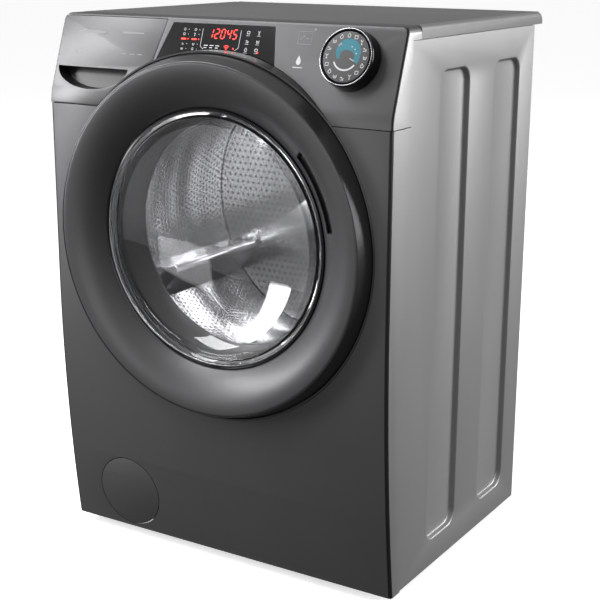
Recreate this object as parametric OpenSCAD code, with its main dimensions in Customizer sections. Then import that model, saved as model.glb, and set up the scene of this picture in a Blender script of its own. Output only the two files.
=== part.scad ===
/* [Cabinet] */
// Width over the front panel
cabinet_w = 600; // [560:5:720]
// Height from the floor to the top of the worktop
cabinet_h = 850; // [800:5:1020]
// Depth from the front face to the rear edge of the worktop
cabinet_d = 516; // [486:2:620]
// Height of the panels' lower edge above the floor
plinth_h = 17; // [14:1:24]
// Sheet thickness of the side and back panels
sheet_t = 1.2; // [0.8:0.1:1.6]
// Thickness of the moulded and pressed front parts
skin_t = 2.5; // [2:0.1:3]
// How far the side panels lie inside the front panel's edge
side_inset = 2; // [1:0.5:4]
// Distance from the front face back to the side panels
front_return = 56; // [50:1:64]
// Distance from the back panel to the worktop's rear edge
rear_overhang = 32; // [26:1:40]
// Gap between neighbouring panels
panel_gap = 1.2; // [0.6:0.1:2]
// How far the front panel's foot lies behind its face
foot_setback = 29; // [10:1:32]
// Drop from the door's centre to where the face starts to curve back
curve_drop = 80; // [60:5:120]
// Depth of the pressings in the side panels
pressing_d = 8; // [5:1:10]
// Corner radius of the pressings
pressing_r = 22; // [10:1:30]

/* [Worktop] */
// Height of the worktop and its edge trim
worktop_t = 20; // [16:1:24]
// Width of the edge trim
trim_w = 8; // [6:1:12]
// Rounding of the edge trim
trim_round = 5; // [2:0.5:5]
// Depth of the console's top cap, from the front face
cap_y = 79; // [70:1:90]

/* [Console] */
// Height of the console
console_h = 135; // [130:1:140]
// Slope of the console from the vertical
console_a = 19.6; // [16:0.2:22]
// Radius of the bend below the slope
bend_r = 70; // [40:5:80]
// Distance of the knob's axis from the right edge
knob_inset = 77; // [60:1:90]
// Drop from the worktop to the knob's axis
knob_drop = 48; // [44:1:56]
// Radius of the knob's front edge
knob_r = 41; // [34:0.5:44]
// Height of the knob
knob_h = 22; // [16:1:26]
// Radius of the knob's carrier
carrier_r = 14; // [10:1:16]
// Running clearance of turning parts, on the radius
running_gap = 0.05; // [0.02:0.01:0.1]
// Width of the display glass along its top edge
display_w = 178; // [150:1:185]
// Drop from the worktop to the display's top edge
display_drop = 8; // [6:1:14]
// Thickness of the display glass
display_t = 3; // [2:0.5:4]

/* [Drawer] */
// Distance from the middle to the drawer's right edge, at the top
drawer_edge = 101; // [98:1:106]
// Lean of that edge
drawer_lean = 13; // [8:0.5:16]
// Thickness of the drawer front
drawer_front_t = 14; // [12:0.5:18]
// Travel of the drawer
drawer_travel = 180; // [140:5:200]
// Length of the detergent tray
tray_l = 244; // [220:2:260]
// Depth of the detergent tray
tray_h = 50; // [40:1:52]
// Wall of the tray and of its housing
tray_wall = 2; // [1.5:0.1:3]
// Width of the finger recess
pull_w = 136; // [100:2:150]
// Height of the finger recess
pull_h = 32; // [24:1:36]

/* [Door] */
// Radius of the door at its base
door_r = 273; // [227:0.5:274]
// How far the door stands out
door_proud = 26; // [20:1:28]
// How much the flank narrows to the crest
door_taper = 9; // [6:0.5:12]
// Drop from the worktop to the door's centre
door_drop = 320; // [318:1:330]
// Gap between the door and the collar around it
door_gap = 1.5; // [1:0.1:3]
// Wall of the collar around the door
collar_t = 2.5; // [2:0.1:4]
// Outer radius of the glass bowl's flange
glass_r = 189.5; // [180:0.5:192]
// Depth of the glass bowl behind the front face
bowl_d = 72; // [60:1:80]
// Wall of the glass bowl
glass_t = 4; // [3:0.5:6]
// Width of the bright trim ring
trim_ring_w = 7; // [4:0.5:9]
// Distance from the door's base edge to the hinge axis
hinge_inset = 15; // [14:0.5:17]
// Distance of the hinge axis in front of the face
hinge_out = 9; // [8:0.5:10]
// Radius of the hinge pin
hinge_pin_r = 4; // [3:0.5:4]
// Half height of the hinge block
hinge_half = 30; // [24:1:34]

/* [Filter flap] */
// Distance of the flap's centre from the middle
flap_x = 183.5; // [170:0.5:200]
// Height of the flap's centre above the panel's lower edge
flap_up = 65; // [62:1:80]
// Radius of the flap
flap_r = 59; // [50:1:60]
// Thickness of the flap
flap_t = 2; // [1.5:0.1:2.4]

/* [Washing group] */
// Outer radius of the tub
tub_r = 246; // [236:1:247]
// Wall of the tub
tub_wall = 3; // [2.5:0.5:4]
// Outer radius of the drum
drum_r = 236; // [210:1:236]
// Wall of the drum
drum_wall = 1.5; // [1:0.1:2]
// Radius of the drum's shaft
shaft_r = 15; // [12.5:0.5:18]
// Wall of a bearing, from bore to outside
bearing_wall = 16; // [10:0.5:18]
// Width of a bearing
bearing_w = 16; // [12:1:18]
// Radius of the drum's pulley
pulley_r = 140; // [120:1:168]
// Radius of the motor's pulley
motor_pulley_r = 10; // [8:0.5:14]
// Width of both pulleys
pulley_w = 18; // [14:1:20]
// Radius of the motor
motor_r = 62; // [50:1:64]

/* [Hidden] */
$fn = 96;

// Small lengths used all over
nick = 0.3;
over = 1;
// Heights and depths that follow from the driving sizes
door_z = cabinet_h - door_drop;
split_z = cabinet_h - console_h;
top_z = cabinet_h - worktop_t;
half_w = cabinet_w / 2;
side_x = half_w - side_inset;
inner_x = side_x - sheet_t;
back_y = cabinet_d - rear_overhang;
centre_y = (cabinet_d - door_proud) / 2;
// The face curves back below this height
curve_z = door_z - curve_drop;
curve_h = curve_z - plinth_h;
curve_r = (curve_h * curve_h + foot_setback * foot_setback) / (2 * foot_setback);
curve_steps = 16;
// The console's slope starts at the end of its bend
bend_y = bend_r * (1 - cos(console_a));
bend_z = split_z + bend_r * sin(console_a);
bend_steps = 8;
// The door
crest_r = door_r - door_taper;
recess_r = door_r + door_gap;
collar_r = recess_r + collar_t;
recess_y = 11;
frame_y = 6.2;
frame_t = 2.5;
dish_r = crest_r - 2;
dish_in_r = glass_r + trim_ring_w + 0.5;
dish_t = 2.5;
dish_in_y = 2;
bowl_in_r = glass_r - 3.5 - glass_t;
hinge_x = -(door_r - hinge_inset);
hinge_y = -hinge_out;
lug_h = 19;
lug_gap = 0.5;
hook_x = (dish_in_r + crest_r) / 2 + 2;
hook_y = 0.5;
handle_r0 = dish_in_r + (dish_r - dish_in_r) * 0.16;
handle_r1 = dish_in_r + (dish_r - dish_in_r) * 0.38;
handle_a0 = 10;
handle_a1 = 42;
// The washing group, from the back panel forwards
pulley_y = back_y - 34;
hub_y1 = pulley_y - pulley_w / 2 - 7;
rear_bearing_y = hub_y1 - bearing_w - over;
front_bearing_y = rear_bearing_y - bearing_w - 10;
seal_w = 7;
hub_y0 = front_bearing_y - seal_w - over;
tub_back_y = front_bearing_y + 8;
tub_back_t = 6;
spider_t = 12;
drum_back_y = hub_y0 - spider_t - 4;
tub_front_y = 76;
tub_split_y = 230;
drum_front_y = tub_front_y + 14;
mouth_r = glass_r + 12;
bearing_r = shaft_r + bearing_wall;
spring_x = 205;
spring_y = back_y - 134;
damper_x = 170;
damper_y = 247;
// The motor hangs below the tub
motor_x = 95;
motor_z = door_z - tub_r - motor_r - 42;
motor_y0 = back_y - 220;
motor_y1 = back_y - 56;
// Pump and filter
flap_z = plinth_h + flap_up;
flap_gap = 1.2;
plug_r = 29;
pump_y0 = 52;
pump_y1 = 112;
flap_axis_x = -flap_x - flap_r - 16;
flap_axis_y = front_y(flap_z) + 8;
arm_half = 8;
// Drawer
tray_x0 = -half_w + 20;
tray_x1 = -(drawer_edge + 16 + 7);
tray_z0 = cabinet_h - 86;
tray_z1 = tray_z0 + tray_h;
tray_y0 = console_y(tray_z1) + drawer_front_t + nick;
pull_x = -half_w + 6 + pull_w / 2;
pull_z = cabinet_h - 79;
knob_x = half_w - knob_inset;
knob_z = cabinet_h - knob_drop;

function front_y(z) = z >= curve_z ? 0 : curve_r - sqrt(curve_r * curve_r - pow(curve_z - z, 2));
function console_y(z) = bend_y + (z - bend_z) * tan(console_a);
function lower_line() = [for (i = [0 : curve_steps])
    let (z = plinth_h + curve_h * i / curve_steps) [front_y(z), z]];
function console_line() = concat(
    [for (i = [0 : bend_steps]) let (a = console_a * i / bend_steps)
        [bend_r * (1 - cos(a)), split_z + bend_r * sin(a)]],
    [[console_y(cabinet_h), cabinet_h]]);
function back_to_front(line) = [for (i = [len(line) - 1 : -1 : 0]) line[i]];
function set_back(line, d) = [for (p = line) [p[0] + d, p[1]]];
function layer(line, d0, d1) = concat(set_back(line, d0), back_to_front(set_back(line, d1)));
function dish_y(r) = -door_proud + 0.4
    + (door_proud - 0.4 + dish_in_y) * pow((dish_r - r) / (dish_r - dish_in_r), 2);

// The origin is on the floor, under the middle of the whole machine
module placed() translate([0, -centre_y, 0]) children();

// A prism along X from an outline in Y and Z
module x_prism(outline, x0, x1) translate([x0, 0, 0]) rotate([90, 0, 90])
    linear_extrude(x1 - x0) polygon(outline);

// A prism along Y from an outline in X and Z
module y_prism(y0, y1) translate([0, y1, 0]) rotate([90, 0, 0]) linear_extrude(y1 - y0) children();

module box(x0, x1, y0, y1, z0, z1) translate([x0, y0, z0]) cube([x1 - x0, y1 - y0, z1 - z0]);

module y_rod(x, z, r, y0, y1) translate([x, y0, z]) rotate([-90, 0, 0]) cylinder(r = r, h = y1 - y0);

module z_rod(x, y, r, z0, z1) translate([x, y, z0]) cylinder(r = r, h = z1 - z0);

// A ring about the door's axis from an outline in radius and Y, between two angles up from +X
module turned(outline, a0 = 0, a1 = 360) translate([0, 0, door_z]) rotate([-90, 0, 0])
    rotate([0, 0, -a1]) rotate_extrude(angle = a1 - a0) polygon(outline);

module tube(r0, r1, y0, y1) turned([[r0, y0], [r1, y0], [r1, y1], [r0, y1]]);

module round_rect(w, h, r) {
    square([w - 2 * r, h], center = true);
    square([w, h - 2 * r], center = true);
    for (x = [-1, 1], y = [-1, 1]) translate([x * (w / 2 - r), y * (h / 2 - r)]) circle(r = r);
}

// Local Z points out of the console's slope at this place
module on_slope(x, z) translate([x, console_y(z), z]) rotate([90 - console_a, 0, 0]) children();

// ---- cabinet

pressing_z0 = plinth_h + 43;
pressing_z1 = cabinet_h - 66;
pressing_w = 100;
pressing_y = [for (f = [0.325, 0.76]) front_return + (back_y - front_return) * f];

module pressing(y, grow, x0, x1) translate([x0, y, (pressing_z0 + pressing_z1) / 2]) rotate([90, 0, 90])
    linear_extrude(x1 - x0) round_rect(pressing_w + 2 * grow, pressing_z1 - pressing_z0 + 2 * grow, pressing_r);

module side_panel() {
    difference() {
        union() {
            box(inner_x, side_x, front_return + panel_gap, back_y, plinth_h, top_z);
            box(side_x - 16, side_x, front_return + panel_gap, front_return + panel_gap + sheet_t, plinth_h, top_z);
            for (y = pressing_y) pressing(y, 0, side_x - pressing_d, side_x);
        }
        for (y = pressing_y) pressing(y, -sheet_t, side_x - pressing_d + sheet_t, side_x + over);
    }
}

module side_panel_right() color("#6e6e70") placed() side_panel();
module side_panel_left() color("#6e6e70") placed() mirror([1, 0, 0]) side_panel();

cover_r = pulley_r + 16;
module back_panel() color("#8c8c8e") placed() difference() {
    box(-inner_x + nick, inner_x - nick, back_y - sheet_t, back_y, plinth_h, top_z);
    y_rod(0, door_z, cover_r - 12, back_y - 5, back_y + 5);
    y_rod(motor_x, motor_z, 40, back_y - 5, back_y + 5);
    y_rod(inlet_x, inlet_z, inlet_r + 1, back_y - 5, back_y + 5);
    y_rod(drain_x, drain_z, drain_r + 1, back_y - 5, back_y + 5);
    for (x = [-1, 1], z = [-1, 1]) y_rod(x * bolt_dx / 2, door_z - 60 + z * bolt_dz / 2, bolt_hole_r, back_y - 5, back_y + 5);
}
bolt_dx = 420;
bolt_dz = 240;
bolt_hole_r = 9;

module rear_cover() color("#3a3a3c") placed() difference() {
    union() {
        y_rod(0, door_z, cover_r, back_y + nick, back_y + 3);
        y_rod(0, door_z, cover_r - 22, back_y + nick, back_y + 16);
        y_rod(motor_x, motor_z, 52, back_y + nick, back_y + 3);
        box(motor_x - 40, motor_x + 40, back_y + nick, back_y + 3, motor_z, door_z - cover_r / 2);
    }
    y_rod(0, door_z, cover_r - 24.5, back_y - over, back_y + 13.5);
}

tray_floor = plinth_h + 3;
foot_x = half_w - 68;
feet_y = [110, back_y - 44];
foot_stem_r = 5;
module base_tray() color("#2b2b2d") placed() difference() {
    union() {
        box(-inner_x + over, inner_x - over, front_return + 6, back_y - sheet_t - over, tray_floor, plinth_h + 33);
        for (x = [-foot_x, foot_x], y = feet_y) z_rod(x, y, 14, tray_floor, plinth_h + 29);
    }
    difference() {
        box(-inner_x + 4, inner_x - 4, front_return + 9, back_y - sheet_t - 4, tray_floor + 4, plinth_h + 40);
        for (x = [-foot_x, foot_x], y = feet_y) z_rod(x, y, 14, tray_floor, plinth_h + 29);
    }
    for (x = [-foot_x, foot_x], y = feet_y) z_rod(x, y, foot_stem_r, plinth_h - 5, plinth_h + 40);
    box(-flap_x - 40, -flap_x + 40, front_return, front_return + 14, tray_floor + 4, plinth_h + 40);
}

module feet() color("#1c1c1c") placed() for (x = [-foot_x, foot_x], y = feet_y) {
    z_rod(x, y, 19, 0, 8);
    z_rod(x, y, foot_stem_r, 7, plinth_h + 27);
}

module foot_locknuts() color("silver") placed() for (x = [-foot_x, foot_x], y = feet_y) difference() {
    translate([x, y, tray_floor - 8]) cylinder(r = 9, h = 7.8, $fn = 6);
    z_rod(x, y, foot_stem_r, 0, plinth_h + 9);
}

// ---- front

return_h = split_z - panel_gap / 2;
module front_panel() color("#47474a") placed() difference() {
    union() {
        x_prism(layer(concat(lower_line(), [[0, return_h]]), 0, skin_t), -half_w, half_w);
        for (x = [-half_w, half_w - skin_t])
            x_prism(concat(lower_line(), [[0, return_h], [front_return, return_h], [front_return, plinth_h]]),
                x, x + skin_t);
    }
    y_rod(0, door_z, collar_r + nick, -over, front_return - 8);
    y_rod(-flap_x, flap_z, flap_r + flap_gap, -over, front_return);
}

// Collar around the door, and the floor of the recess behind it
lock_slot_h = 13;
module porthole_surround() color("#3b3b3d") placed() difference() {
    union() {
        tube(recess_r, collar_r, 0, recess_y + 22);
        tube(mouth_r, collar_r, recess_y, recess_y + 2);
        tube(mouth_r, mouth_r + 2.5, recess_y, recess_y + 12);
    }
    box(hook_x - 12, hook_x + 9, 0, 20, door_z - lock_slot_h, door_z + lock_slot_h);
    for (z = [-18, 18]) y_rod(hinge_x, door_z + z, 3, 0, 20);
    difference() {
        tube(mouth_r + 2.4, collar_r + over, recess_y + 2, recess_y + 30);
        tube(recess_r, collar_r + over, recess_y, recess_y + 30);
    }
    box(-half_w, half_w, recess_y + 2, recess_y + 30, 0, split_z - 4);
}

function drawer_outline(g) = [[-half_w - over, split_z + panel_gap / 2 - g], [0, split_z + panel_gap / 2 - g],
    [-drawer_edge - 18 + g, cabinet_h - 4 - (18 + 4) / tan(drawer_lean) + 4],
    [-drawer_edge + g, cabinet_h - 4 + g], [-half_w - over, cabinet_h - 4 + g]];
function display_outline(g) = [for (p = [[-1, 0, 0], [1, 0, 0], [1, 10, -54], [-1, 21, -54], [-1, 0, 0]])
    [p[0] * (display_w / 2 + p[1] + g), cabinet_h - display_drop + p[2] + (p[2] == 0 ? g : -g)]];
display_arc = collar_r + 0.5;

module console_layer(d0, d1) x_prism(layer(console_line(), d0, d1), -half_w - over, half_w + over);

module console() color("#47474a") placed() difference() {
    union() {
        x_prism(layer(console_line(), 0, skin_t), -half_w, half_w);
        for (x = [-half_w, half_w - skin_t])
            x_prism(concat(console_line(), [[front_return, cabinet_h], [front_return, split_z]]), x, x + skin_t);
        x_prism([[console_y(top_z), top_z + 1], [console_y(cabinet_h), cabinet_h], [cap_y, cabinet_h],
            [cap_y, top_z + 1]], -half_w, half_w);
    }
    box(-half_w - over, half_w + over, -over, front_return + over, split_z - over, split_z + panel_gap / 2);
    y_rod(0, door_z, collar_r + nick, -over, front_return + over);
    intersection() {
        y_prism(-over, cap_y) polygon(drawer_outline(0.8));
        console_layer(-over, drawer_front_t + over);
    }
    intersection() {
        y_prism(-over, cap_y) difference() {
            polygon(display_outline(0.2));
            translate([0, door_z]) circle(r = display_arc);
        }
        console_layer(-over, display_t + 6);
    }
    on_slope(knob_x, knob_z) translate([0, 0, -20]) cylinder(r = carrier_r, h = 30);
}

module display_glass() color("#0a0a0c") placed() intersection() {
    y_prism(-over, cap_y) difference() {
        polygon(display_outline(0));
        translate([0, door_z]) circle(r = display_arc + 0.2);
    }
    console_layer(0, display_t);
}

module display_board() color("#1f5a36") placed() on_slope(0, cabinet_h - 30)
    translate([-80, -16, -9.6]) cube([160, 30, 1.6]);

module control_module() color("#d8d8d2") placed() {
    box(130, half_w - 20, cap_y + 3, cap_y + 130, cabinet_h - 70, top_z - 6);
    box(145, 165, cap_y - 3, cap_y + 4, cabinet_h - 62, cabinet_h - 42);
}

module dial_carrier() color("#222224") placed() on_slope(knob_x, knob_z) {
    translate([0, 0, -12]) cylinder(r = carrier_r, h = 12 + knob_h - 4);
    translate([0, 0, -14]) cylinder(r = carrier_r + 6, h = 11);
}

module dial_face() color("#b9babd") placed() on_slope(knob_x, knob_z)
    translate([0, 0, knob_h - 4]) cylinder(r = knob_r - 5.5, h = 3.4);

module programme_knob() color("#0c0c0e") placed() on_slope(knob_x, knob_z) rotate_extrude() polygon([
    [carrier_r + running_gap, 2], [knob_r + 2, 0.6], [knob_r + 2, 3], [knob_r, knob_h - 1], [knob_r - 1, knob_h],
    [knob_r - 3, knob_h], [knob_r - 4.6, knob_h - 2], [knob_r - 4.6, 5], [carrier_r + running_gap, 5]]);

module worktop() color("#5a5a5b") placed()
    box(-half_w + trim_w + nick, half_w - trim_w - nick, cap_y + nick, cabinet_d - trim_w - nick,
        top_z + 1, cabinet_h - 0.4);

function trim_section(w) = concat([[0, 0], [w - trim_round, 0]],
    [for (a = [-75 : 15 : 0]) [w - trim_round + trim_round * cos(a), trim_round + trim_round * sin(a)]],
    [for (a = [0 : 15 : 90]) [w - trim_round + trim_round * cos(a), worktop_t - 1 - trim_round + trim_round * sin(a)]],
    [[0, worktop_t - 1]]);
module worktop_trim() color("#8d8d8f") placed() {
    for (s = [0, 1]) mirror([s, 0, 0]) translate([half_w - trim_w, cabinet_d - trim_w, top_z + 1]) rotate([90, 0, 0])
        linear_extrude(cabinet_d - trim_w - cap_y - nick) polygon(trim_section(trim_w));
    intersection() {
        translate([-half_w, cabinet_d - trim_w, top_z + 1]) rotate([90, 0, 90])
            linear_extrude(cabinet_w) polygon(trim_section(trim_w));
        box(-half_w, half_w, 0, cabinet_d + over, 0, cabinet_h + over);
    }
}

// ---- drawer

module pull_shape(g) translate([pull_x, pull_z]) polygon([for (i = [0 : 24]) let (a = 180 + 180 * i / 24)
    [(pull_w / 2 + g) * cos(a), (pull_h + g) * sin(a) + g]]);

module drawer_front() color("#6b6b6d") placed() difference() {
    union() {
        intersection() {
            y_prism(-over, cap_y) polygon(drawer_outline(0));
            console_layer(0, drawer_front_t);
            box(-half_w, half_w, -over, cap_y, split_z, cabinet_h);
        }
        intersection() {
            y_prism(-over, cap_y) pull_shape(2.5);
            console_layer(3, 24);
        }
        for (x = [tray_x0 + 12, tray_x1 - 16])
            box(x, x + 4, console_y(tray_z1 - 3) + drawer_front_t - 6, tray_y0, tray_z0 + 14, tray_z1 - 3);
    }
    y_rod(0, door_z, collar_r + 0.8, -over, cap_y);
    intersection() {
        y_prism(-over, cap_y) pull_shape(0);
        console_layer(-over, 21.5);
    }
}

module detergent_tray() color("#c9cdd0") placed() difference() {
    box(tray_x0, tray_x1, tray_y0, tray_y0 + tray_l, tray_z0, tray_z1);
    // The floor rises where the tray passes over the door
    difference() {
        for (bay = tray_bays) box(bay[0], bay[1], tray_y0 + tray_wall, tray_y0 + tray_l - tray_wall,
            tray_z0 + tray_wall, tray_z1 + over);
        y_rod(0, door_z, collar_r + over + tray_wall, 0, cabinet_d);
    }
    y_rod(0, door_z, collar_r + over, 0, cabinet_d);
}
bay_w = (tray_x1 - tray_x0 - 4 * tray_wall) / 3;
tray_bays = [for (i = [0 : 2]) let (x = tray_x0 + tray_wall + i * (bay_w + tray_wall)) [x, x + bay_w]];

module softener_insert() color("#5d86b8") placed() difference() {
    box(tray_bays[1][0] + over, tray_bays[1][1] - over, tray_y0 + 20, tray_y0 + 110, tray_z0 + tray_wall + 0.2, tray_z1 - 6);
    box(tray_bays[1][0] + 3, tray_bays[1][1] - 3, tray_y0 + 22, tray_y0 + 108, tray_z0, tray_z1 - 8);
}

housing_y0 = front_return + 6;
housing_y1 = tray_y0 + tray_l + 8;
module dispenser_housing() color("#b7bbbe") placed() difference() {
    union() {
        box(tray_x0 - 5, tray_x1 + 5, housing_y0, housing_y1, tray_z0 - 6, top_z - 2);
        z_rod(tray_x1 - 30, housing_y1 - 24, 15, tray_z0 - 22, tray_z0 - 4);
    }
    box(tray_x0 - 2, tray_x1 + 2, housing_y0 - over, housing_y1 - 3, tray_z0 - 3, top_z - 5);
    z_rod(tray_x1 - 30, housing_y1 - 24, 12.5, tray_z0 - 30, tray_z0);
}

module dispenser_hose() color("#1d1d1f") placed() difference() {
    z_rod(tray_x1 - 30, housing_y1 - 24, 18, tray_z0 - 24, tray_z0 - 8);
    z_rod(tray_x1 - 30, housing_y1 - 24, 15, tray_z0 - 60, tray_z0);
}

inlet_x = -half_w + 38;
inlet_z = cabinet_h - 55;
inlet_r = 13.1;
drain_x = half_w - 70;
drain_z = cabinet_h - 90;
drain_r = 9.5;
module inlet_valve() color("#e4e2da") placed() difference() {
    union() {
        box(inlet_x - 20, inlet_x + 20, back_y - 44, back_y - 12, inlet_z - 22, inlet_z + 20);
        y_rod(inlet_x, inlet_z, inlet_r, back_y - 12, back_y + 24);
        y_rod(inlet_x, inlet_z, 20, back_y - 12, back_y - sheet_t - nick);
        y_rod(inlet_x, inlet_z, 6, back_y - 66, back_y - 43);
    }
    y_rod(inlet_x, inlet_z, 8, back_y - 30, back_y + 26);
    y_rod(inlet_x, inlet_z, 4, back_y - 70, back_y - 20);
}

module inlet_hose() color("#2a2a2c") placed() difference() {
    union() {
        y_rod(inlet_x, inlet_z, 9, housing_y1 + nick, back_y - 45);
        z_rod(drain_x, back_y - 30, 12, plinth_h + 60, drain_z);
        translate([drain_x, back_y - 30, drain_z]) sphere(r = 12);
        y_rod(drain_x, drain_z, 12, back_y - 30, back_y - 8);
        y_rod(drain_x, drain_z, drain_r, back_y - 9, back_y + 26);
    }
    y_rod(inlet_x, inlet_z, 6, housing_y1 - over, back_y - 40);
    y_rod(drain_x, drain_z, 7, back_y - 30, back_y + 30);
}

// ---- door

function flank_r(y) = door_r + door_taper * y / door_proud;
module hinge_room(reach) {
    z_rod(hinge_x, hinge_y, 6.4, door_z - reach, door_z + reach);
    box(hinge_x - 1, hinge_x + 14, hinge_y, 12, door_z - reach, door_z + reach);
}
module hinge_notch() box(hinge_x - 25, hinge_x + 9, hinge_y - 7.5, 14, door_z - hinge_half - 1.5, door_z + hinge_half + 1.5);
lug_reach = hinge_half + lug_gap + lug_h;

module door_outer_ring() color("#3a3a3c") placed() difference() {
    turned([[door_r, 1], [crest_r + 0.6, 1.5 - door_proud], [crest_r - 0.4, -door_proud], [crest_r - 1.6, -door_proud],
        [crest_r - 1.6, 3.4 - door_proud], [crest_r - 5, 6.8 - door_proud], [crest_r - 5, frame_y], [door_r - 5, frame_y],
        [door_r - 1, 1]]);
    hinge_notch();
    hinge_room(lug_reach + 0.5);
}

module door_dish_ring() color("#4b4b4e") placed() difference() {
    turned(concat([for (i = [0 : 14]) let (r = dish_r - (dish_r - dish_in_r) * i / 14) [r, dish_y(r)]],
        [for (i = [14 : -1 : 0]) let (r = dish_r - (dish_r - dish_in_r) * i / 14) [r, dish_y(r) + dish_t]]));
    turned([[handle_r0, -door_proud], [handle_r1, -door_proud], [handle_r1, 10], [handle_r0, 10]], handle_a0, handle_a1);
    intersection() {
        hinge_notch();
        turned([[crest_r - 14, -20], [crest_r + 4, -20], [crest_r + 4, 12], [crest_r - 14, 12]]);
    }
}

// Cup of the finger recess, behind the slot in the dish ring
cup_y = 3.4;
module door_handle_insert() color("#77777a") placed() difference() {
    turned([[handle_r0 - 2, dish_y(handle_r0 - 2) + dish_t + 0.2], [handle_r1 + 2, dish_y(handle_r1 + 2) + dish_t + 0.2],
        [handle_r1 + 2, cup_y], [handle_r0 - 2, cup_y + 1.4]], handle_a0 - 1, handle_a1 + 1);
    turned([[handle_r0 - 0.2, -door_proud], [handle_r1 + 0.2, -door_proud], [handle_r1 + 0.2, cup_y - 1.2],
        [handle_r0 - 0.2, cup_y - 1]], handle_a0, handle_a1);
}

module door_trim_ring() color("silver") placed()
    turned([[glass_r + 0.3, -1], [glass_r + trim_ring_w - 1, -1], [glass_r + trim_ring_w, 1],
        [glass_r + trim_ring_w, 5.8], [glass_r + 0.3, 5.8]]);

function bowl_line(r, d) = [for (i = [0 : 10]) let (a = 90 * i / 10)
    [r - 30 - (r - 30 - 36) * sin(a) * i / 10 + 30 * cos(a), d * (0.12 + 0.88 * sin(a))]];
module door_glass() color([0.15, 0.16, 0.17, 0.4]) placed()
    turned(concat([[0, bowl_d], [0, bowl_d - glass_t]], back_to_front(bowl_line(bowl_in_r, bowl_d - glass_t)),
        [[bowl_in_r, 1], [glass_r, 1], [glass_r, 5.8]], bowl_line(bowl_in_r + glass_t, bowl_d)));

hook_room = [hook_x - 9, hook_x + 9];
module door_inner_frame() color("#2a2a2c") placed() difference() {
    union() {
        difference() {
            union() {
                tube(glass_r + nick, crest_r - 5.2, frame_y, frame_y + frame_t);
                tube(dish_in_r + 1, dish_in_r + 3.5, dish_in_y + dish_t + 1.4, frame_y + 0.1);
                tube(crest_r - 8, crest_r - 5.3, 6 - door_proud, frame_y + 0.1);
            }
            hinge_notch();
            box(hook_room[0], hook_room[1], -20, 12, door_z - 10, door_z + 10);
        }
        for (s = [-1, 1]) {
            translate([0, 0, door_z + s * (hinge_half + lug_gap + lug_h / 2) - lug_h / 2]) {
                z_rod(hinge_x, hinge_y, 6, 0, lug_h);
                box(hinge_x, hinge_x + 13, hinge_y, frame_y + frame_t, 0, lug_h);
            }
            box(hook_room[0] - 2, hook_room[1] + 2, -8, frame_y + 0.1, door_z + s * 11.5 - 1.5, door_z + s * 11.5 + 1.5);
        }
    }
    z_rod(hinge_x, hinge_y, hinge_pin_r + running_gap, door_z - 80, door_z + 80);
    z_rod(hook_x, hook_y, hook_pin_r, door_z - 20, door_z + 20);
}

hook_pin_r = 2;
hook_reach = 33;
module door_hook() color("silver") placed() difference() {
    union() {
        z_rod(hook_x, hook_y, 5, door_z - 9, door_z + 9);
        box(hook_x - 2.5, hook_x + 2.5, hook_y, hook_reach, door_z - 9, door_z + 9);
        box(hook_x - 8, hook_x + 2.5, hook_reach - 6, hook_reach, door_z - 9, door_z + 9);
    }
    z_rod(hook_x, hook_y, hook_pin_r + running_gap, door_z - 20, door_z + 20);
}

module door_hook_pin() color("silver") placed() z_rod(hook_x, hook_y, hook_pin_r, door_z - 13, door_z + 13);

module door_hinge_block() color("#3f3f41") placed() difference() {
    union() {
        z_rod(hinge_x, hinge_y, 6, door_z - hinge_half, door_z + hinge_half);
        box(hinge_x - 4.5, hinge_x + 4.5, hinge_y, recess_y, door_z - hinge_half, door_z + hinge_half);
        for (z = [-18, 18]) y_rod(hinge_x, door_z + z, 3, recess_y - over, recess_y + 8);
    }
    z_rod(hinge_x, hinge_y, hinge_pin_r, door_z - 80, door_z + 80);
}

module door_hinge_pin() color("silver") placed()
    z_rod(hinge_x, hinge_y, hinge_pin_r, door_z - lug_reach + 0.5, door_z + lug_reach - 0.5);

module door_lock() color("#e2e2dc") placed() difference() {
    box(hook_x - 17.5, hook_x + 13, recess_y + 2.2, recess_y + 40, door_z - 34, door_z + 34);
    box(hook_x - 14, hook_x + 8, recess_y, recess_y + 36, door_z - lock_slot_h, door_z + lock_slot_h);
}

// ---- washing group

module gasket() color("#4a4b4d") placed() turned([[glass_r - 1.5, recess_y + 1], [mouth_r - 0.5, recess_y - 1.8],
    [mouth_r - 0.5, recess_y + 14], [mouth_r + 12, recess_y + 24], [mouth_r + 12, recess_y + 30], [mouth_r - 2, recess_y + 40],
    [mouth_r - 2, tub_front_y - 0.3], [mouth_r - 5, tub_front_y - 0.3], [mouth_r - 5, recess_y + 38],
    [mouth_r + 8, recess_y + 29], [mouth_r + 8, recess_y + 26], [mouth_r - 4, recess_y + 16]]);

module tub_front() color("#c4c8ca") placed() {
    difference() {
        union() {
            tube(mouth_r - 1.5, tub_r, tub_front_y, tub_front_y + 4);
            tube(mouth_r - 1.5, mouth_r + 2, tub_front_y - 12, tub_front_y + 1);
            tube(tub_r - tub_wall, tub_r, tub_front_y, tub_split_y);
            tube(tub_r - tub_wall, tub_r + 6, tub_split_y - 5, tub_split_y);
        }
        tub_screw_holes();
    }
}

screw_count = 16;
module tub_screw_holes() for (i = [0 : screw_count - 1]) translate([0, 0, door_z]) rotate([0, 360 / screw_count * (i + 0.5), 0])
    y_rod(tub_r + 3, 0, 1.5, tub_split_y - 8, tub_split_y + 8);
module tub_screws() color("silver") placed() for (i = [0 : screw_count - 1])
    translate([0, 0, door_z]) rotate([0, 360 / screw_count * (i + 0.5), 0]) {
        y_rod(tub_r + 3, 0, 1.5, tub_split_y - 6, tub_split_y + 5);
        y_rod(tub_r + 3, 0, 2.8, tub_split_y - 8, tub_split_y - 5);
    }

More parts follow.
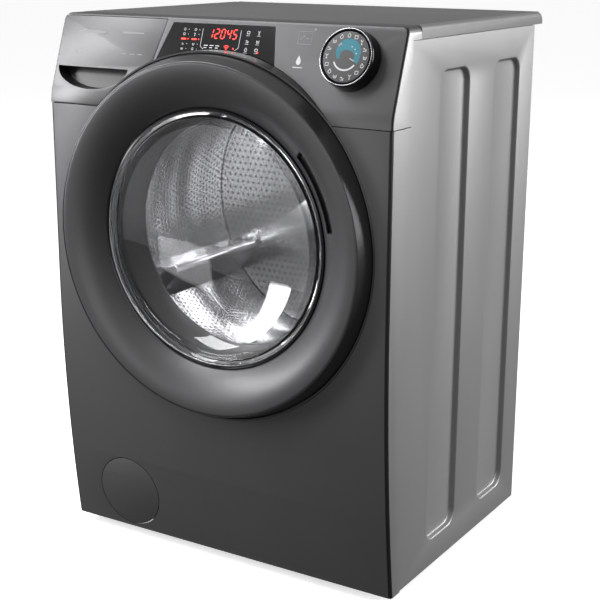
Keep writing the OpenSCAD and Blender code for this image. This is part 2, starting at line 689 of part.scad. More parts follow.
sump_half = 60;
sump_y0 = back_y - 232;
sump_y1 = tub_back_y - 2;
sump_z = door_z - tub_r - 26;
module tub_rear() color("#c4c8ca") placed() difference() {
    union() {
        tube(tub_r - tub_wall, tub_r, tub_split_y, tub_back_y + tub_back_t);
        tube(tub_r - tub_wall, tub_r + 6, tub_split_y, tub_split_y + 5);
        tube(0, tub_r, tub_back_y, tub_back_y + tub_back_t);
        tube(0, bearing_r + 8, hub_y0, hub_y1);
        for (i = [0 : 11]) translate([0, 0, door_z]) rotate([0, i * 30, 0])
            box(bearing_r + 4, tub_r - 6, tub_back_y, hub_y1 - 8, -1.5, 1.5);
        difference() {
            box(-sump_half, sump_half, sump_y0, sump_y1, sump_z, door_z - tub_r + 20);
            y_rod(0, door_z, tub_r - tub_wall, 0, cabinet_d);
        }
        for (m = [0, 1]) mirror([m, 0, 0]) difference() {
            union() {
                box(spring_x - 8, spring_x + coil_r + 5, spring_y - 6, spring_y + 6, door_z + 126, door_z + 150);
                box(damper_x - 9, damper_x + 9, damper_y - 8, damper_y + 8, door_z - tub_r + 50, door_z - tub_r + 90);
            }
            y_rod(0, door_z, tub_r - 1, 0, cabinet_d);
            z_rod(spring_x + coil_r, spring_y, wire_r + nick, door_z + 120, door_z + 160);
        }
    }
    box(-sump_half + 3, sump_half - 3, sump_y0 + 3, sump_y1 - 3, sump_z + 3, door_z - tub_r + 9);
    y_rod(0, door_z, bearing_r, front_bearing_y, hub_y1 + over);
    y_rod(0, door_z, bearing_r, hub_y0 - over, front_bearing_y + over);
    tub_screw_holes();
    y_rod(0, door_z, tub_r - tub_wall, tub_split_y + 6, tub_back_y - 12 - sump_half);
}

module drum() color("#c8cacc") placed() turned([[drum_r - drum_wall, drum_back_y - 2.2], [drum_r, drum_back_y - 2.2],
    [drum_r, drum_front_y + 6], [drum_r - 6, drum_front_y], [mouth_r + 4, drum_front_y], [mouth_r, drum_front_y + 4],
    [mouth_r, drum_front_y + 12], [mouth_r + drum_wall, drum_front_y + 12], [mouth_r + drum_wall, drum_front_y + 5],
    [mouth_r + 5, drum_front_y + drum_wall], [drum_r - 7, drum_front_y + drum_wall], [drum_r - drum_wall, drum_front_y + 7]]);

module drum_back() color("#b8babc") placed() tube(0, drum_r, drum_back_y - 2, drum_back_y);

lifter_y0 = drum_front_y + 30;
module drum_lifters() color("#9fa3a6") placed() for (i = [0 : 2]) translate([0, 0, door_z]) rotate([0, i * 120 - 30, 0])
    difference() {
        box(drum_r - 62, drum_r - drum_wall - 4, lifter_y0, drum_back_y - 14, -22, 22);
        for (s = [-1, 1]) translate([drum_r - 62, 0, s * 30]) rotate([0, s * 16, 0])
            box(-10, 80, lifter_y0 - over, drum_back_y, -18, 18);
    }

spider_y = drum_back_y + 0.2;
module drum_spider() color("#a6a8aa") placed() difference() {
    union() {
        tube(0, 34, spider_y, spider_y + spider_t);
        for (i = [0 : 2]) translate([0, 0, door_z]) rotate([0, i * 120 + 30, 0])
            box(20, drum_r - 6, spider_y, spider_y + 8, -14, 14);
    }
    y_rod(0, door_z, shaft_r, spider_y - over, hub_y1);
}

module drum_shaft() color("silver") placed() {
    y_rod(0, door_z, shaft_r, spider_y, pulley_y + pulley_w / 2 + 3);
    y_rod(0, door_z, 9, pulley_y + pulley_w / 2 + 2, pulley_y + pulley_w / 2 + 9);
}

module bearings() color("#8f9193") placed() for (y = [front_bearing_y, rear_bearing_y])
    tube(shaft_r + running_gap, bearing_r, y, y + bearing_w);

module shaft_seal() color("#202022") placed()
    tube(shaft_r + running_gap, bearing_r, hub_y0 + 0.2, hub_y0 + 0.2 + seal_w);

module drum_pulley() color("#9a9c9f") placed() difference() {
    union() {
        tube(pulley_r - 6, pulley_r, pulley_y - pulley_w / 2, pulley_y + pulley_w / 2);
        tube(0, 28, pulley_y - pulley_w / 2 + 2, pulley_y + pulley_w / 2);
        for (i = [0 : 5]) translate([0, 0, door_z]) rotate([0, i * 60, 0])
            box(20, pulley_r - 3, pulley_y - 3, pulley_y + 3, -11, 11);
    }
    y_rod(0, door_z, shaft_r, 0, cabinet_d);
}

belt_t = 2.4;
module belt_shape(g) hull() {
    translate([0, door_z]) circle(r = pulley_r + g);
    translate([motor_x, motor_z]) circle(r = motor_pulley_r + g);
}
module drive_belt() color("#18181a") placed() y_prism(pulley_y - 6, pulley_y + 6) difference() {
    belt_shape(nick + belt_t);
    belt_shape(nick);
}

module motor() color("#4c4f52") placed() difference() {
    union() {
        y_rod(motor_x, motor_z, motor_r, motor_y0, motor_y1);
        difference() {
            box(motor_x - 38, motor_x + 38, motor_y0 + 20, motor_y0 + 36, motor_z, door_z - tub_r + 30);
            y_rod(0, door_z, tub_r + nick, 0, cabinet_d);
        }
    }
    y_rod(motor_x, motor_z, motor_r - 14, motor_y0 + 6, motor_y1 - 6);
    y_rod(motor_x, motor_z, 6 + running_gap, motor_y0 + 3, motor_y1 + over);
    box(0, sump_half + over, 0, cabinet_d, motor_z + motor_r + 8, door_z);
}

module motor_rotor() color("#8a6d3c") placed() {
    y_rod(motor_x, motor_z, motor_r - 16, motor_y0 + 20, motor_y1 - 20);
    y_rod(motor_x, motor_z, 6, motor_y0 + 4, pulley_y + pulley_w / 2 + 4);
    y_rod(motor_x, motor_z, motor_pulley_r, pulley_y - pulley_w / 2, pulley_y + pulley_w / 2);
}

module counterweight_front() color("#8e8c86") placed()
    turned([[mouth_r + 18, recess_y + 36], [tub_r - 2, recess_y + 36], [tub_r - 2, tub_front_y - 0.3],
        [mouth_r + 6, tub_front_y - 0.3], [mouth_r + 6, tub_front_y - 16], [mouth_r + 18, tub_front_y - 20]], 195, 345);

module counterweight_top() color("#8e8c86") placed() difference() {
    box(-90, 120, tub_split_y + 10, tub_back_y - 20, door_z + tub_r - 22, top_z - 8);
    y_rod(0, door_z, tub_r + nick, 0, cabinet_d);
}

// A suspension spring: its wire's level section, long along the turn, is swept up a twist
coil_turns = 6;
coil_steps = 9;
coil_r = 11;
wire_r = 2;
spring_z0 = door_z + 154;
spring_z1 = top_z - 22;
module coil() linear_extrude(spring_z1 - spring_z0, twist = -360 * coil_turns, slices = coil_turns * coil_steps,
    $fn = 10)
    translate([coil_r, 0]) scale([1, 3]) circle(r = wire_r, $fn = 10);
module suspension() color("#77797c") placed() for (m = [0, 1]) mirror([m, 0, 0]) {
    translate([spring_x, spring_y, spring_z0]) coil();
    z_rod(spring_x + coil_r, spring_y, wire_r, spring_z1 - 1, top_z - 11);
    z_rod(spring_x + coil_r, spring_y, wire_r, door_z + 138, spring_z0 + 1);
    box(spring_x - 14, spring_x + 16, spring_y - 12, spring_y + 12, top_z - 12, top_z - 9);
    z_rod(damper_x, damper_y, 13, tray_floor + 4 + nick, plinth_h + 150);
    z_rod(damper_x, damper_y, 5, plinth_h + 149, door_z - tub_r + 50 - nick);
}

module heater() color("#b0b2b4") placed() for (z = [sump_z + 13]) {
    for (s = [-1, 1]) y_rod(s * 30, z, 4, sump_y0 + 38, sump_y1 - 3.2);
    y_rod(0, z, 3, sump_y1 - 12, sump_y1 - 3.2);
    intersection() {
        translate([0, sump_y0 + 38, z]) rotate_extrude() translate([30, 0]) circle(r = 4);
        box(-50, 50, 0, sump_y0 + 38.1, 0, cabinet_h);
    }
}

// ---- pump, filter and flap

module drain_pump() color("#d9d6cc") placed() difference() {
    union() {
        y_rod(-flap_x, flap_z, plug_r + 5, pump_y0, pump_y1 + 40);
        y_rod(-flap_x, flap_z, plug_r, pump_y1 + 40, pump_y1 + 72);
        box(-flap_x - 26, -flap_x + 26, front_return + 16, pump_y1, tray_floor + 4.1, flap_z - plug_r + 2);
        z_rod(-flap_x, pump_y1 + 14, 14, flap_z + 20, flap_z + 60);
    }
    y_rod(-flap_x, flap_z, plug_r + running_gap, pump_y0 - over, pump_y1);
    y_rod(-flap_x, flap_z, plug_r - 3, pump_y1 - over, pump_y1 + 30);
    z_rod(-flap_x, pump_y1 + 14, 11, flap_z + 10, flap_z + 70);
    y_rod(-flap_x, flap_z, 3 + running_gap, pump_y1, pump_y1 + 60);
}

module pump_impeller() color("#3c3c3e") placed() {
    y_rod(-flap_x, flap_z, 3, pump_y1 + 4, pump_y1 + 58);
    y_rod(-flap_x, flap_z, 8, pump_y1 + 6, pump_y1 + 20);
    for (i = [0 : 4]) translate([-flap_x, 0, flap_z]) rotate([0, i * 72, 0])
        box(5, 20, pump_y1 + 8, pump_y1 + 19, -1.2, 1.2);
}

module filter_plug() color("#4d6f9c") placed() {
    y_rod(-flap_x, flap_z, plug_r, pump_y0 - 2, pump_y1 - 24);
    box(-flap_x - 20, -flap_x + 20, pump_y0 - 12, pump_y0 - over, flap_z - 4, flap_z + 4);
    for (i = [0 : 7]) translate([-flap_x, 0, flap_z]) rotate([0, i * 45, 0])
        box(17, 22, pump_y1 - 25, pump_y1 - 3, -2, 2);
}

module filter_flap() color("#47474a") placed() {
    translate([-flap_x, front_y(flap_z) + nick, flap_z]) rotate([asin((curve_z - flap_z) / curve_r) - 90, 0, 0]) {
        cylinder(r = flap_r, h = flap_t);
        translate([1.7 - flap_r, -arm_half, flap_t / 2]) cube([8.3, 2 * arm_half, flap_t / 2 + 3.2]);
    }
    difference() {
        union() {
            translate([flap_axis_x, flap_axis_y, flap_z - arm_half]) rotate([0, 0, -15])
                rotate_extrude(angle = 112) translate([17.8, 0]) square([3.2, 2 * arm_half]);
            box(flap_axis_x - 2, flap_axis_x + 2, flap_axis_y, flap_axis_y + 19, flap_z - arm_half, flap_z + arm_half);
            z_rod(flap_axis_x, flap_axis_y, 4.5, flap_z - arm_half, flap_z + arm_half);
        }
        z_rod(flap_axis_x, flap_axis_y, flap_pin_r + running_gap, flap_z - 20, flap_z + 20);
    }
}

flap_pin_r = 1.6;
module flap_hinge() color("#2c2c2e") placed() {
    for (s = [-1, 1]) translate([0, 0, flap_z + s * (arm_half + 2.3) - 2]) {
        z_rod(flap_axis_x, flap_axis_y, 4, 0, 4);
        box(flap_axis_x - 12, flap_axis_x, flap_axis_y - 2, flap_axis_y + 4, 0, 4);
    }
    box(flap_axis_x - 14, flap_axis_x - 10, flap_axis_y - 2, flap_axis_y + 4,
        flap_z - arm_half - 4.3, flap_z + arm_half + 4.3);
    z_rod(flap_axis_x, flap_axis_y, flap_pin_r, flap_z - arm_half - 4, flap_z + arm_half + 4);
}

side_panel_left();
side_panel_right();
back_panel();
rear_cover();
base_tray();
feet();
foot_locknuts();
front_panel();
porthole_surround();
console();
worktop();
worktop_trim();
display_glass();
display_board();
control_module();
dial_carrier();
dial_face();
programme_knob();
drawer_front();
detergent_tray();
softener_insert();
dispenser_housing();
dispenser_hose();
inlet_valve();
inlet_hose();
door_outer_ring();
door_dish_ring();
door_handle_insert();
door_trim_ring();
door_glass();
door_inner_frame();
door_hook();
door_hook_pin();
door_hinge_block();
door_hinge_pin();
door_lock();
gasket();
tub_front();
tub_rear();
tub_screws();
drum();
drum_back();
drum_lifters();
drum_spider();
drum_shaft();
bearings();
shaft_seal();
drum_pulley();
drive_belt();
motor();
motor_rotor();
counterweight_front();
counterweight_top();
suspension();
heater();
drain_pump();
pump_impeller();
filter_plug();
filter_flap();
flap_hinge();
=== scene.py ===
import bpy
import math
from mathutils import Matrix, Vector


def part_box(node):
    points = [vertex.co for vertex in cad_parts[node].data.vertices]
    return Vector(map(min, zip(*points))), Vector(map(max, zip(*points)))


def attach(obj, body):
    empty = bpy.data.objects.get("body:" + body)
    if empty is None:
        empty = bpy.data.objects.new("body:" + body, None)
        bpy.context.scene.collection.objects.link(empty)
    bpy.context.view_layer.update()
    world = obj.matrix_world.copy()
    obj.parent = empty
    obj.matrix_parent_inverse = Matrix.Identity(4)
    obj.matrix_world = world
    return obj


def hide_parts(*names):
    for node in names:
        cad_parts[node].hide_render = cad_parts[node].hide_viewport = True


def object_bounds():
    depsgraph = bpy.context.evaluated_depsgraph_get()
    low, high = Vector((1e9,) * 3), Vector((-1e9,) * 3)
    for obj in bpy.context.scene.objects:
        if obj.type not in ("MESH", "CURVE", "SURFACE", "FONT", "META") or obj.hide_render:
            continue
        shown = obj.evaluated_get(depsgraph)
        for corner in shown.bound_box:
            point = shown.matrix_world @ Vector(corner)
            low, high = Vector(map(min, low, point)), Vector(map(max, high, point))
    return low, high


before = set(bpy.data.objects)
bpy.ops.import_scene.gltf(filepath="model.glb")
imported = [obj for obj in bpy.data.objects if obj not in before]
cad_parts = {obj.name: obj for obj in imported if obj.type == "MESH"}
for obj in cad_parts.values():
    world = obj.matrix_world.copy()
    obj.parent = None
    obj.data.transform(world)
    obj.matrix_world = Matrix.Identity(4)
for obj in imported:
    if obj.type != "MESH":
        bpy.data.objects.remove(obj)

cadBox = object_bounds()
print("frame loaded")

# heights and depths every piece is set out from, in metres, read off the frame
low, high = cadBox
cabinet = {"halfWidth": high[0], "height": high[2], "foot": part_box("front_panel")[0][2],
           "face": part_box("front_panel")[0][1], "sideDepth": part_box("front_panel")[1][1],
           "topUnder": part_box("worktop_trim")[0][2], "capBack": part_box("console")[1][1],
           "split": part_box("front_panel")[1][2], "skin": 0.0025, "edge": 0.0045, "corner": 0.011}
door = {"z": (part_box("door_trim_ring")[0][2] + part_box("door_trim_ring")[1][2]) / 2,
        "base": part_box("door_outer_ring")[1][0], "crestY": low[1], "taper": 0.009}
slope = {"angle": math.radians(19.6), "bend": 0.070}
slope["z0"] = cabinet["split"] + 0.0012
slope["bendY"] = slope["bend"] * (1 - math.cos(slope["angle"]))
slope["bendZ"] = slope["z0"] + slope["bend"] * math.sin(slope["angle"])


def selectNothing():
    if bpy.context.object and bpy.context.object.mode != "OBJECT":
        bpy.ops.object.mode_set(mode="OBJECT")
    bpy.ops.object.select_all(action="DESELECT")


def makeActive(piece):
    selectNothing()
    piece.select_set(True)
    bpy.context.view_layer.objects.active = piece


def applyModifier(piece, kind, **settings):
    makeActive(piece)
    modifier = piece.modifiers.new(kind.lower(), kind)
    for key, value in settings.items():
        setattr(modifier, key, value)
    bpy.ops.object.modifier_apply(modifier=modifier.name)


def cleanUp(piece, outward=True):
    makeActive(piece)
    bpy.ops.object.mode_set(mode="EDIT")
    bpy.ops.mesh.select_all(action="SELECT")
    bpy.ops.mesh.remove_doubles(threshold=0.00001)
    if outward:
        bpy.ops.mesh.normals_make_consistent(inside=False)
    bpy.ops.object.mode_set(mode="OBJECT")


def pick(piece, kind, test):
    # leaves the piece in edit mode with only the parts that pass the test selected
    makeActive(piece)
    bpy.ops.object.mode_set(mode="EDIT")
    bpy.ops.mesh.select_mode(type=kind)
    bpy.ops.mesh.select_all(action="DESELECT")
    bpy.ops.object.mode_set(mode="OBJECT")
    mesh = piece.data
    for part in mesh.edges if kind == "EDGE" else mesh.polygons:
        corners = [mesh.vertices[i].co for i in part.vertices]
        part.select = test(part, corners)
    bpy.ops.object.mode_set(mode="EDIT")


def cut(piece, cutter, how="DIFFERENCE"):
    applyModifier(piece, "BOOLEAN", object=cutter, operation=how, solver="EXACT")
    bpy.data.objects.remove(cutter, do_unlink=True)
    return piece


def bevelEdges(piece, width, segments=3, angle=30):
    applyModifier(piece, "BEVEL", width=width, segments=segments, limit_method="ANGLE",
                  angle_limit=math.radians(angle), harden_normals=False)
    return piece


def smooth(piece, angle=35):
    makeActive(piece)
    bpy.ops.object.shade_smooth_by_angle(angle=math.radians(angle))
    return piece


def outlineLoop(name, points):
    # a closed ring of edges, one vertex to each outline point
    selectNothing()
    bpy.ops.mesh.primitive_circle_add(vertices=len(points), radius=0.1)
    piece = bpy.context.object
    piece.name = name
    for vertex, point in zip(piece.data.vertices, points):
        vertex.co = point
    return piece


def prism(name, points, shift):
    piece = outlineLoop(name, points)
    bpy.ops.object.mode_set(mode="EDIT")
    bpy.ops.mesh.select_all(action="SELECT")
    bpy.ops.mesh.edge_face_add()
    bpy.ops.mesh.extrude_region_move(TRANSFORM_OT_translate={"value": shift})
    bpy.ops.mesh.select_all(action="SELECT")
    bpy.ops.mesh.normals_make_consistent(inside=False)
    bpy.ops.object.mode_set(mode="OBJECT")
    return piece


def acrossX(name, outline, x0, x1):
    return prism(name, [(x0, y, z) for y, z in outline], (x1 - x0, 0, 0))


def alongY(name, outline, y0, y1):
    return prism(name, [(x, y0, z) for x, z in outline], (0, y1 - y0, 0))


def spun(name, outline, centre, steps=160, start=0.0, turn=360.0):
    # the outline is (radius, y); it turns about the Y axis through the centre's x and z
    place = [Vector((centre[0] + r * math.cos(start), y, centre[1] + r * math.sin(start))) for r,
             y in outline]
    piece = outlineLoop(name, place)
    bpy.ops.object.mode_set(mode="EDIT")
    bpy.ops.mesh.select_all(action="SELECT")
    if turn < 360:
        bpy.ops.mesh.edge_face_add()
    bpy.ops.mesh.spin(steps=steps, angle=math.radians(turn), center=(centre[0], 0, centre[1]), axis=(0, 1, 0))
    bpy.ops.object.mode_set(mode="OBJECT")
    cleanUp(piece)
    return piece


def cylinderY(name, x, z, radius, y0, y1, sides=192):
    selectNothing()
    bpy.ops.mesh.primitive_cylinder_add(vertices=sides, radius=radius, depth=y1 - y0,
                                        location=(x, (y0 + y1) / 2, z), rotation=(math.pi / 2, 0, 0))
    piece = bpy.context.object
    piece.name = name
    bpy.ops.object.transform_apply(location=True, rotation=True, scale=True)
    return piece


def block(name, x0, x1, y0, y1, z0, z1):
    selectNothing()
    bpy.ops.mesh.primitive_cube_add(size=1, location=((x0 + x1) / 2, (y0 + y1) / 2, (z0 + z1) / 2),
                                    scale=(x1 - x0, y1 - y0, z1 - z0))
    piece = bpy.context.object
    piece.name = name
    bpy.ops.object.transform_apply(location=True, rotation=True, scale=True)
    return piece


def uprightPin(x, y, z, radius, length, sides):
    selectNothing()
    bpy.ops.mesh.primitive_cylinder_add(vertices=sides, radius=radius, depth=length, location=(x, y, z))
    bpy.ops.object.transform_apply(location=True, rotation=True, scale=True)
    return bpy.context.object


def joinAll(pieces, name):
    selectNothing()
    for piece in pieces:
        piece.select_set(True)
    bpy.context.view_layer.objects.active = pieces[0]
    if len(pieces) > 1:
        bpy.ops.object.join()
    pieces[0].name = name
    return pieces[0]


def settle(piece, body, slot, finish, *replaced):
    # give a finished piece its material, its body and the CAD nodes it stands for
    if finish:
        piece.data.materials.clear()
        piece.data.materials.append(finish)
    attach(piece, body)
    if replaced:
        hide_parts(*replaced)
    return piece


def newFinish(name, colour, metal=0.0, rough=0.4, grain=0.0, grainSize=900.0, shift=0.08, coat=0.0,
              blotch=6.0, roughShift=0.06, stretch=(1, 1, 1), **sockets):
    finish = bpy.data.materials.new(name)
    finish.use_nodes = True
    nodes, links = finish.node_tree.nodes, finish.node_tree.links
    shader = nodes["Principled BSDF"]
    shader.inputs["Metallic"].default_value = metal
    shader.inputs["Coat Weight"].default_value = coat
    shader.inputs["Coat Roughness"].default_value = 0.2
    for key, value in sockets.items():
        shader.inputs[key.replace("_", " ")].default_value = value
    where = nodes.new("ShaderNodeTexCoord")
    mapping = nodes.new("ShaderNodeMapping")
    mapping.inputs["Scale"].default_value = stretch
    links.new(where.outputs["Object"], mapping.inputs["Vector"])
    clouds = nodes.new("ShaderNodeTexNoise")
    clouds.inputs["Scale"].default_value = blotch
    clouds.inputs["Detail"].default_value = 3
    links.new(mapping.outputs["Vector"], clouds.inputs["Vector"])
    tint = nodes.new("ShaderNodeValToRGB")
    tint.color_ramp.elements[0].position, tint.color_ramp.elements[1].position = 0.3, 0.7
    for element, factor in zip(tint.color_ramp.elements, (1 - shift, 1 + shift)):
        element.color = (*[min(1, channel * factor) for channel in colour], 1)
    links.new(clouds.outputs["Fac"], tint.inputs["Fac"])
    links.new(tint.outputs["Color"], shader.inputs["Base Color"])
    fine = nodes.new("ShaderNodeTexNoise")
    fine.inputs["Scale"].default_value = grainSize
    fine.inputs["Detail"].default_value = 2
    links.new(mapping.outputs["Vector"], fine.inputs["Vector"])
    dull = nodes.new("ShaderNodeMapRange")
    dull.inputs["To Min"].default_value = max(0.02, rough - roughShift)
    dull.inputs["To Max"].default_value = min(1, rough + roughShift)
    links.new(fine.outputs["Fac"], dull.inputs["Value"])
    links.new(dull.outputs["Result"], shader.inputs["Roughness"])
    if grain:
        bump = nodes.new("ShaderNodeBump")
        bump.inputs["Strength"].default_value = grain
        bump.inputs["Distance"].default_value = 0.0002
        links.new(fine.outputs["Fac"], bump.inputs["Height"])
        links.new(bump.outputs["Normal"], shader.inputs["Normal"])
    return finish


def newDrumSteel(name, colour, pitch, holeSize, radial):
    # stainless sheet with staggered punched holes, on the shell by angle and depth, on the back by place; the
    # holes are painted near-black, painted shade for the dark seen through them
    finish = newFinish(name, colour, metal=1.0, rough=0.17, shift=0.05, roughShift=0.03)
    nodes, links = finish.node_tree.nodes, finish.node_tree.links
    shader = nodes["Principled BSDF"]
    where = nodes.new("ShaderNodeTexCoord")
    centred = nodes.new("ShaderNodeVectorMath")
    centred.operation = "SUBTRACT"
    centred.inputs[1].default_value = (0, 0, door["z"])
    links.new(where.outputs["Object"], centred.inputs[0])
    parts = nodes.new("ShaderNodeSeparateXYZ")
    links.new(centred.outputs["Vector"], parts.inputs["Vector"])

    def calc(operation, first, second=None):
        node = nodes.new("ShaderNodeMath")
        node.operation = operation
        for socket, value in zip(node.inputs, (first, second)):
            if value is None:
                continue
            if isinstance(value, (int, float)):
                socket.default_value = value
            else:
                links.new(value, socket)
        return node.outputs["Value"]

    if radial:
        along = calc("MULTIPLY", parts.outputs["X"], 1 / pitch)
        across = calc("MULTIPLY", parts.outputs["Z"], 1 / pitch)
    else:
        along = calc("MULTIPLY", calc("ARCTAN2", parts.outputs["Z"], parts.outputs["X"]), 0.235 / pitch)
        across = calc("MULTIPLY", parts.outputs["Y"], 1 / pitch)
    row = calc("FLOOR", across)
    odd = calc("MULTIPLY", calc("FLOORED_MODULO", row, 2.0), 0.5)
    u = calc("SUBTRACT", calc("FRACT", calc("ADD", along, odd)), 0.5)
    v = calc("SUBTRACT", calc("FRACT", across), 0.5)
    reach = calc("SQRT", calc("ADD", calc("MULTIPLY", u, u), calc("MULTIPLY", v, v)))
    hole = nodes.new("ShaderNodeMapRange")
    hole.inputs["From Min"].default_value = holeSize
    hole.inputs["From Max"].default_value = holeSize + 0.06
    links.new(reach, hole.inputs["Value"])
    mix = nodes.new("ShaderNodeMix")
    mix.data_type = "RGBA"
    # painted shade: the colour inside each hole
    mix.inputs["A"].default_value = (0.01, 0.01, 0.01, 1)
    links.new(hole.outputs["Result"], mix.inputs["Factor"])
    colourNode = shader.inputs["Base Color"].links[0].from_socket
    links.new(colourNode, mix.inputs["B"])
    links.new(mix.outputs["Result"], shader.inputs["Base Color"])
    links.new(hole.outputs["Result"], shader.inputs["Metallic"])
    swell = nodes.new("ShaderNodeMapRange")
    swell.inputs["From Min"].default_value = holeSize * 0.6
    swell.inputs["From Max"].default_value = 0.5
    links.new(reach, swell.inputs["Value"])
    bump = nodes.new("ShaderNodeBump")
    bump.inputs["Strength"].default_value = 0.12
    bump.inputs["Distance"].default_value = 0.0004
    links.new(swell.outputs["Result"], bump.inputs["Height"])
    links.new(bump.outputs["Normal"], shader.inputs["Normal"])
    return finish


def newGlow(name, colour, strength):
    return newFinish(name, colour, rough=0.4, shift=0.02, Emission_Color=(*colour, 1),
                     Emission_Strength=strength)


finishes = {
    "paint": newFinish("anthracite paint", (0.115, 0.115, 0.118), metal=0.55, rough=0.43, grain=0.04,
                       grainSize=1400, shift=0.04, coat=0.06),
    # painted light: the anthracite paint made lighter on the drawer front, where the front-left lamp falls
    "litDrawerPaint": newFinish("drawer paint lightened as painted light", (0.14, 0.14, 0.143), metal=0.55, rough=0.42, grain=0.04,
                             grainSize=1400, shift=0.04, coat=0.06),
    # painted light: the anthracite paint made lighter for the sides, where the key lamp on the right falls
    "litSidePaint": newFinish("side paint lightened as painted light", (0.37, 0.37, 0.372), metal=0.65, rough=0.44, grain=0.06,
                           grainSize=1200, shift=0.03, coat=0.05),
    # painted shade: black for the dark that falls on the rounded upright edges, not a black part
    "paintedEdgeShade": newFinish("painted edge shade", (0.008, 0.008, 0.009), rough=0.35, shift=0.1),
    "dish": newFinish("door satin", (0.082, 0.082, 0.085), metal=0.5, rough=0.40, grain=0.03,
                      grainSize=1500, shift=0.04, coat=0.08),
    "flank": newFinish("door flank", (0.10, 0.10, 0.103), metal=0.7, rough=0.30, grain=0.02, shift=0.05,
                       coat=0.2),
    "collar": newFinish("collar gloss", (0.09, 0.09, 0.093), metal=0.5, rough=0.20, shift=0.05, coat=0.3),
    "blackGloss": newFinish("black gloss", (0.005, 0.005, 0.006), rough=0.10, shift=0.1, coat=0.2,
                            roughShift=0.02),
    "brightRing": newFinish("bright ring", (0.42, 0.42, 0.43), metal=1.0, rough=0.24, shift=0.05),
    "dialSilver": newFinish("dial silver", (0.072, 0.072, 0.074), metal=0.6, rough=0.42, grain=0.05,
                            shift=0.04),
    "worktopSkin": newFinish("worktop laminate", (0.13, 0.13, 0.131), rough=0.42, grain=0.12, grainSize=700,
                             shift=0.05),
    "trimSkin": newFinish("trim plastic", (0.22, 0.22, 0.222), metal=0.2, rough=0.38, grain=0.05,
                          shift=0.03, coat=0.1),
    # painted shade: darker finish for the inside of the drawer's pull recess
    "pull": newFinish("recess painted shade", (0.03, 0.03, 0.031), metal=0.2, rough=0.32, shift=0.08, coat=0.05),
    "brushed": newFinish("brushed plate", (0.09, 0.09, 0.093), metal=0.8, rough=0.34, grain=0.5,
                         grainSize=260,
                         stretch=(1, 1, 8), shift=0.25, blotch=120),
    "darkPlastic": newFinish("dark plastic", (0.025, 0.025, 0.027), rough=0.5, grain=0.25, grainSize=1000),
    "rubber": newFinish("grey rubber", (0.045, 0.045, 0.047), rough=0.62, grain=0.3, grainSize=600),
    "gasketRubber": newFinish("gasket rubber", (0.012, 0.012, 0.0125), rough=0.42, grain=0.15, grainSize=600),
    "blackRubber": newFinish("black rubber", (0.018, 0.018, 0.018), rough=0.7, grain=0.4, grainSize=500),
    "steel": newFinish("bright steel", (0.55, 0.55, 0.56), metal=1.0, rough=0.28, grain=0.1, grainSize=800),
    "lifterSteel": newFinish("lifter steel", (0.50, 0.50, 0.51), metal=1.0, rough=0.24, roughShift=0.03),
    "castAluminium": newFinish("cast aluminium", (0.42, 0.43, 0.44), metal=0.9, rough=0.5, grain=0.5,
                               grainSize=450),
    "zincSheet": newFinish("zinc sheet", (0.34, 0.35, 0.36), metal=0.8, rough=0.42, shift=0.2, blotch=60),
    "greyPlastic": newFinish("grey polypropylene", (0.42, 0.44, 0.46), rough=0.46, grain=0.15, grainSize=900),
    "palePlastic": newFinish("pale plastic", (0.62, 0.61, 0.57), rough=0.48, grain=0.15, grainSize=900),
    "bluePlastic": newFinish("blue plastic", (0.06, 0.15, 0.36), rough=0.38, grain=0.1, grainSize=900),
    "board": newFinish("circuit board", (0.02, 0.13, 0.05), rough=0.4, shift=0.4, blotch=240),
    "concrete": newFinish("concrete", (0.34, 0.33, 0.31), rough=0.85, grain=0.9, grainSize=160, shift=0.18,
                          blotch=40),
    "motorBlack": newFinish("motor paint", (0.03, 0.032, 0.035), rough=0.42, grain=0.2),
    "laminations": newFinish("rotor steel", (0.2, 0.18, 0.15), metal=0.9, rough=0.5, grain=0.6, grainSize=300,
                             stretch=(1, 9, 1)),
    "whitePrint": newFinish("white print", (0.75, 0.75, 0.76), rough=0.5, shift=0.02),
    "greyPrint": newFinish("grey print", (0.30, 0.30, 0.31), rough=0.5, shift=0.02),
    "tealPrint": newFinish("teal print", (0.01, 0.20, 0.27), rough=0.4, shift=0.12, blotch=60),
    "redGlow": newGlow("red lamp", (0.9, 0.03, 0.02), 2.2),
    "whiteGlow": newGlow("white lamp", (0.6, 0.6, 0.62), 0.5),
    "drumShell": newDrumSteel("perforated shell", (0.62, 0.62, 0.63), 0.0088, 0.21, False),
    "drumDisc": newDrumSteel("perforated back", (0.58, 0.58, 0.59), 0.0110, 0.17, True),
}
finishes["glass"] = newFinish("door glass", (0.93, 0.94, 0.95), rough=0.03, shift=0.01, roughShift=0.01,
                              Transmission_Weight=1.0, IOR=1.45)

nodeFinish = {
    "zincSheet": "back_panel",
    "steel": "foot_locknuts tub_screws door_hook door_hook_pin door_hinge_pin drum_shaft bearings heater "
             "suspension",
    "blackRubber": "feet shaft_seal drive_belt dispenser_hose inlet_hose",
    "darkPlastic": "rear_cover base_tray door_inner_frame door_hinge_block dial_carrier flap_hinge",
    "palePlastic": "control_module inlet_valve door_lock drain_pump",
    "greyPlastic": "detergent_tray dispenser_housing tub_front tub_rear",
    "bluePlastic": "softener_insert filter_plug",
    "board": "display_board",
    "castAluminium": "drum_spider drum_pulley",
    "concrete": "counterweight_front counterweight_top",
    "motorBlack": "motor",
    "laminations": "motor_rotor pump_impeller",
    "blackGloss": "display_glass programme_knob",
    "paint": "console front_panel drawer_front filter_flap",
    "litSidePaint": "side_panel_left side_panel_right",
    "worktopSkin": "worktop",
    "trimSkin": "worktop_trim",
    "collar": "porthole_surround",
    "flank": "door_outer_ring",
    "dish": "door_dish_ring",
    "brushed": "door_handle_insert",
    "brightRing": "door_trim_ring",
    "glass": "door_glass",
    "rubber": "gasket",
    "drumShell": "drum",
    "drumDisc": "drum_back",
    "lifterSteel": "drum_lifters",
    "dialSilver": "dial_face",
}


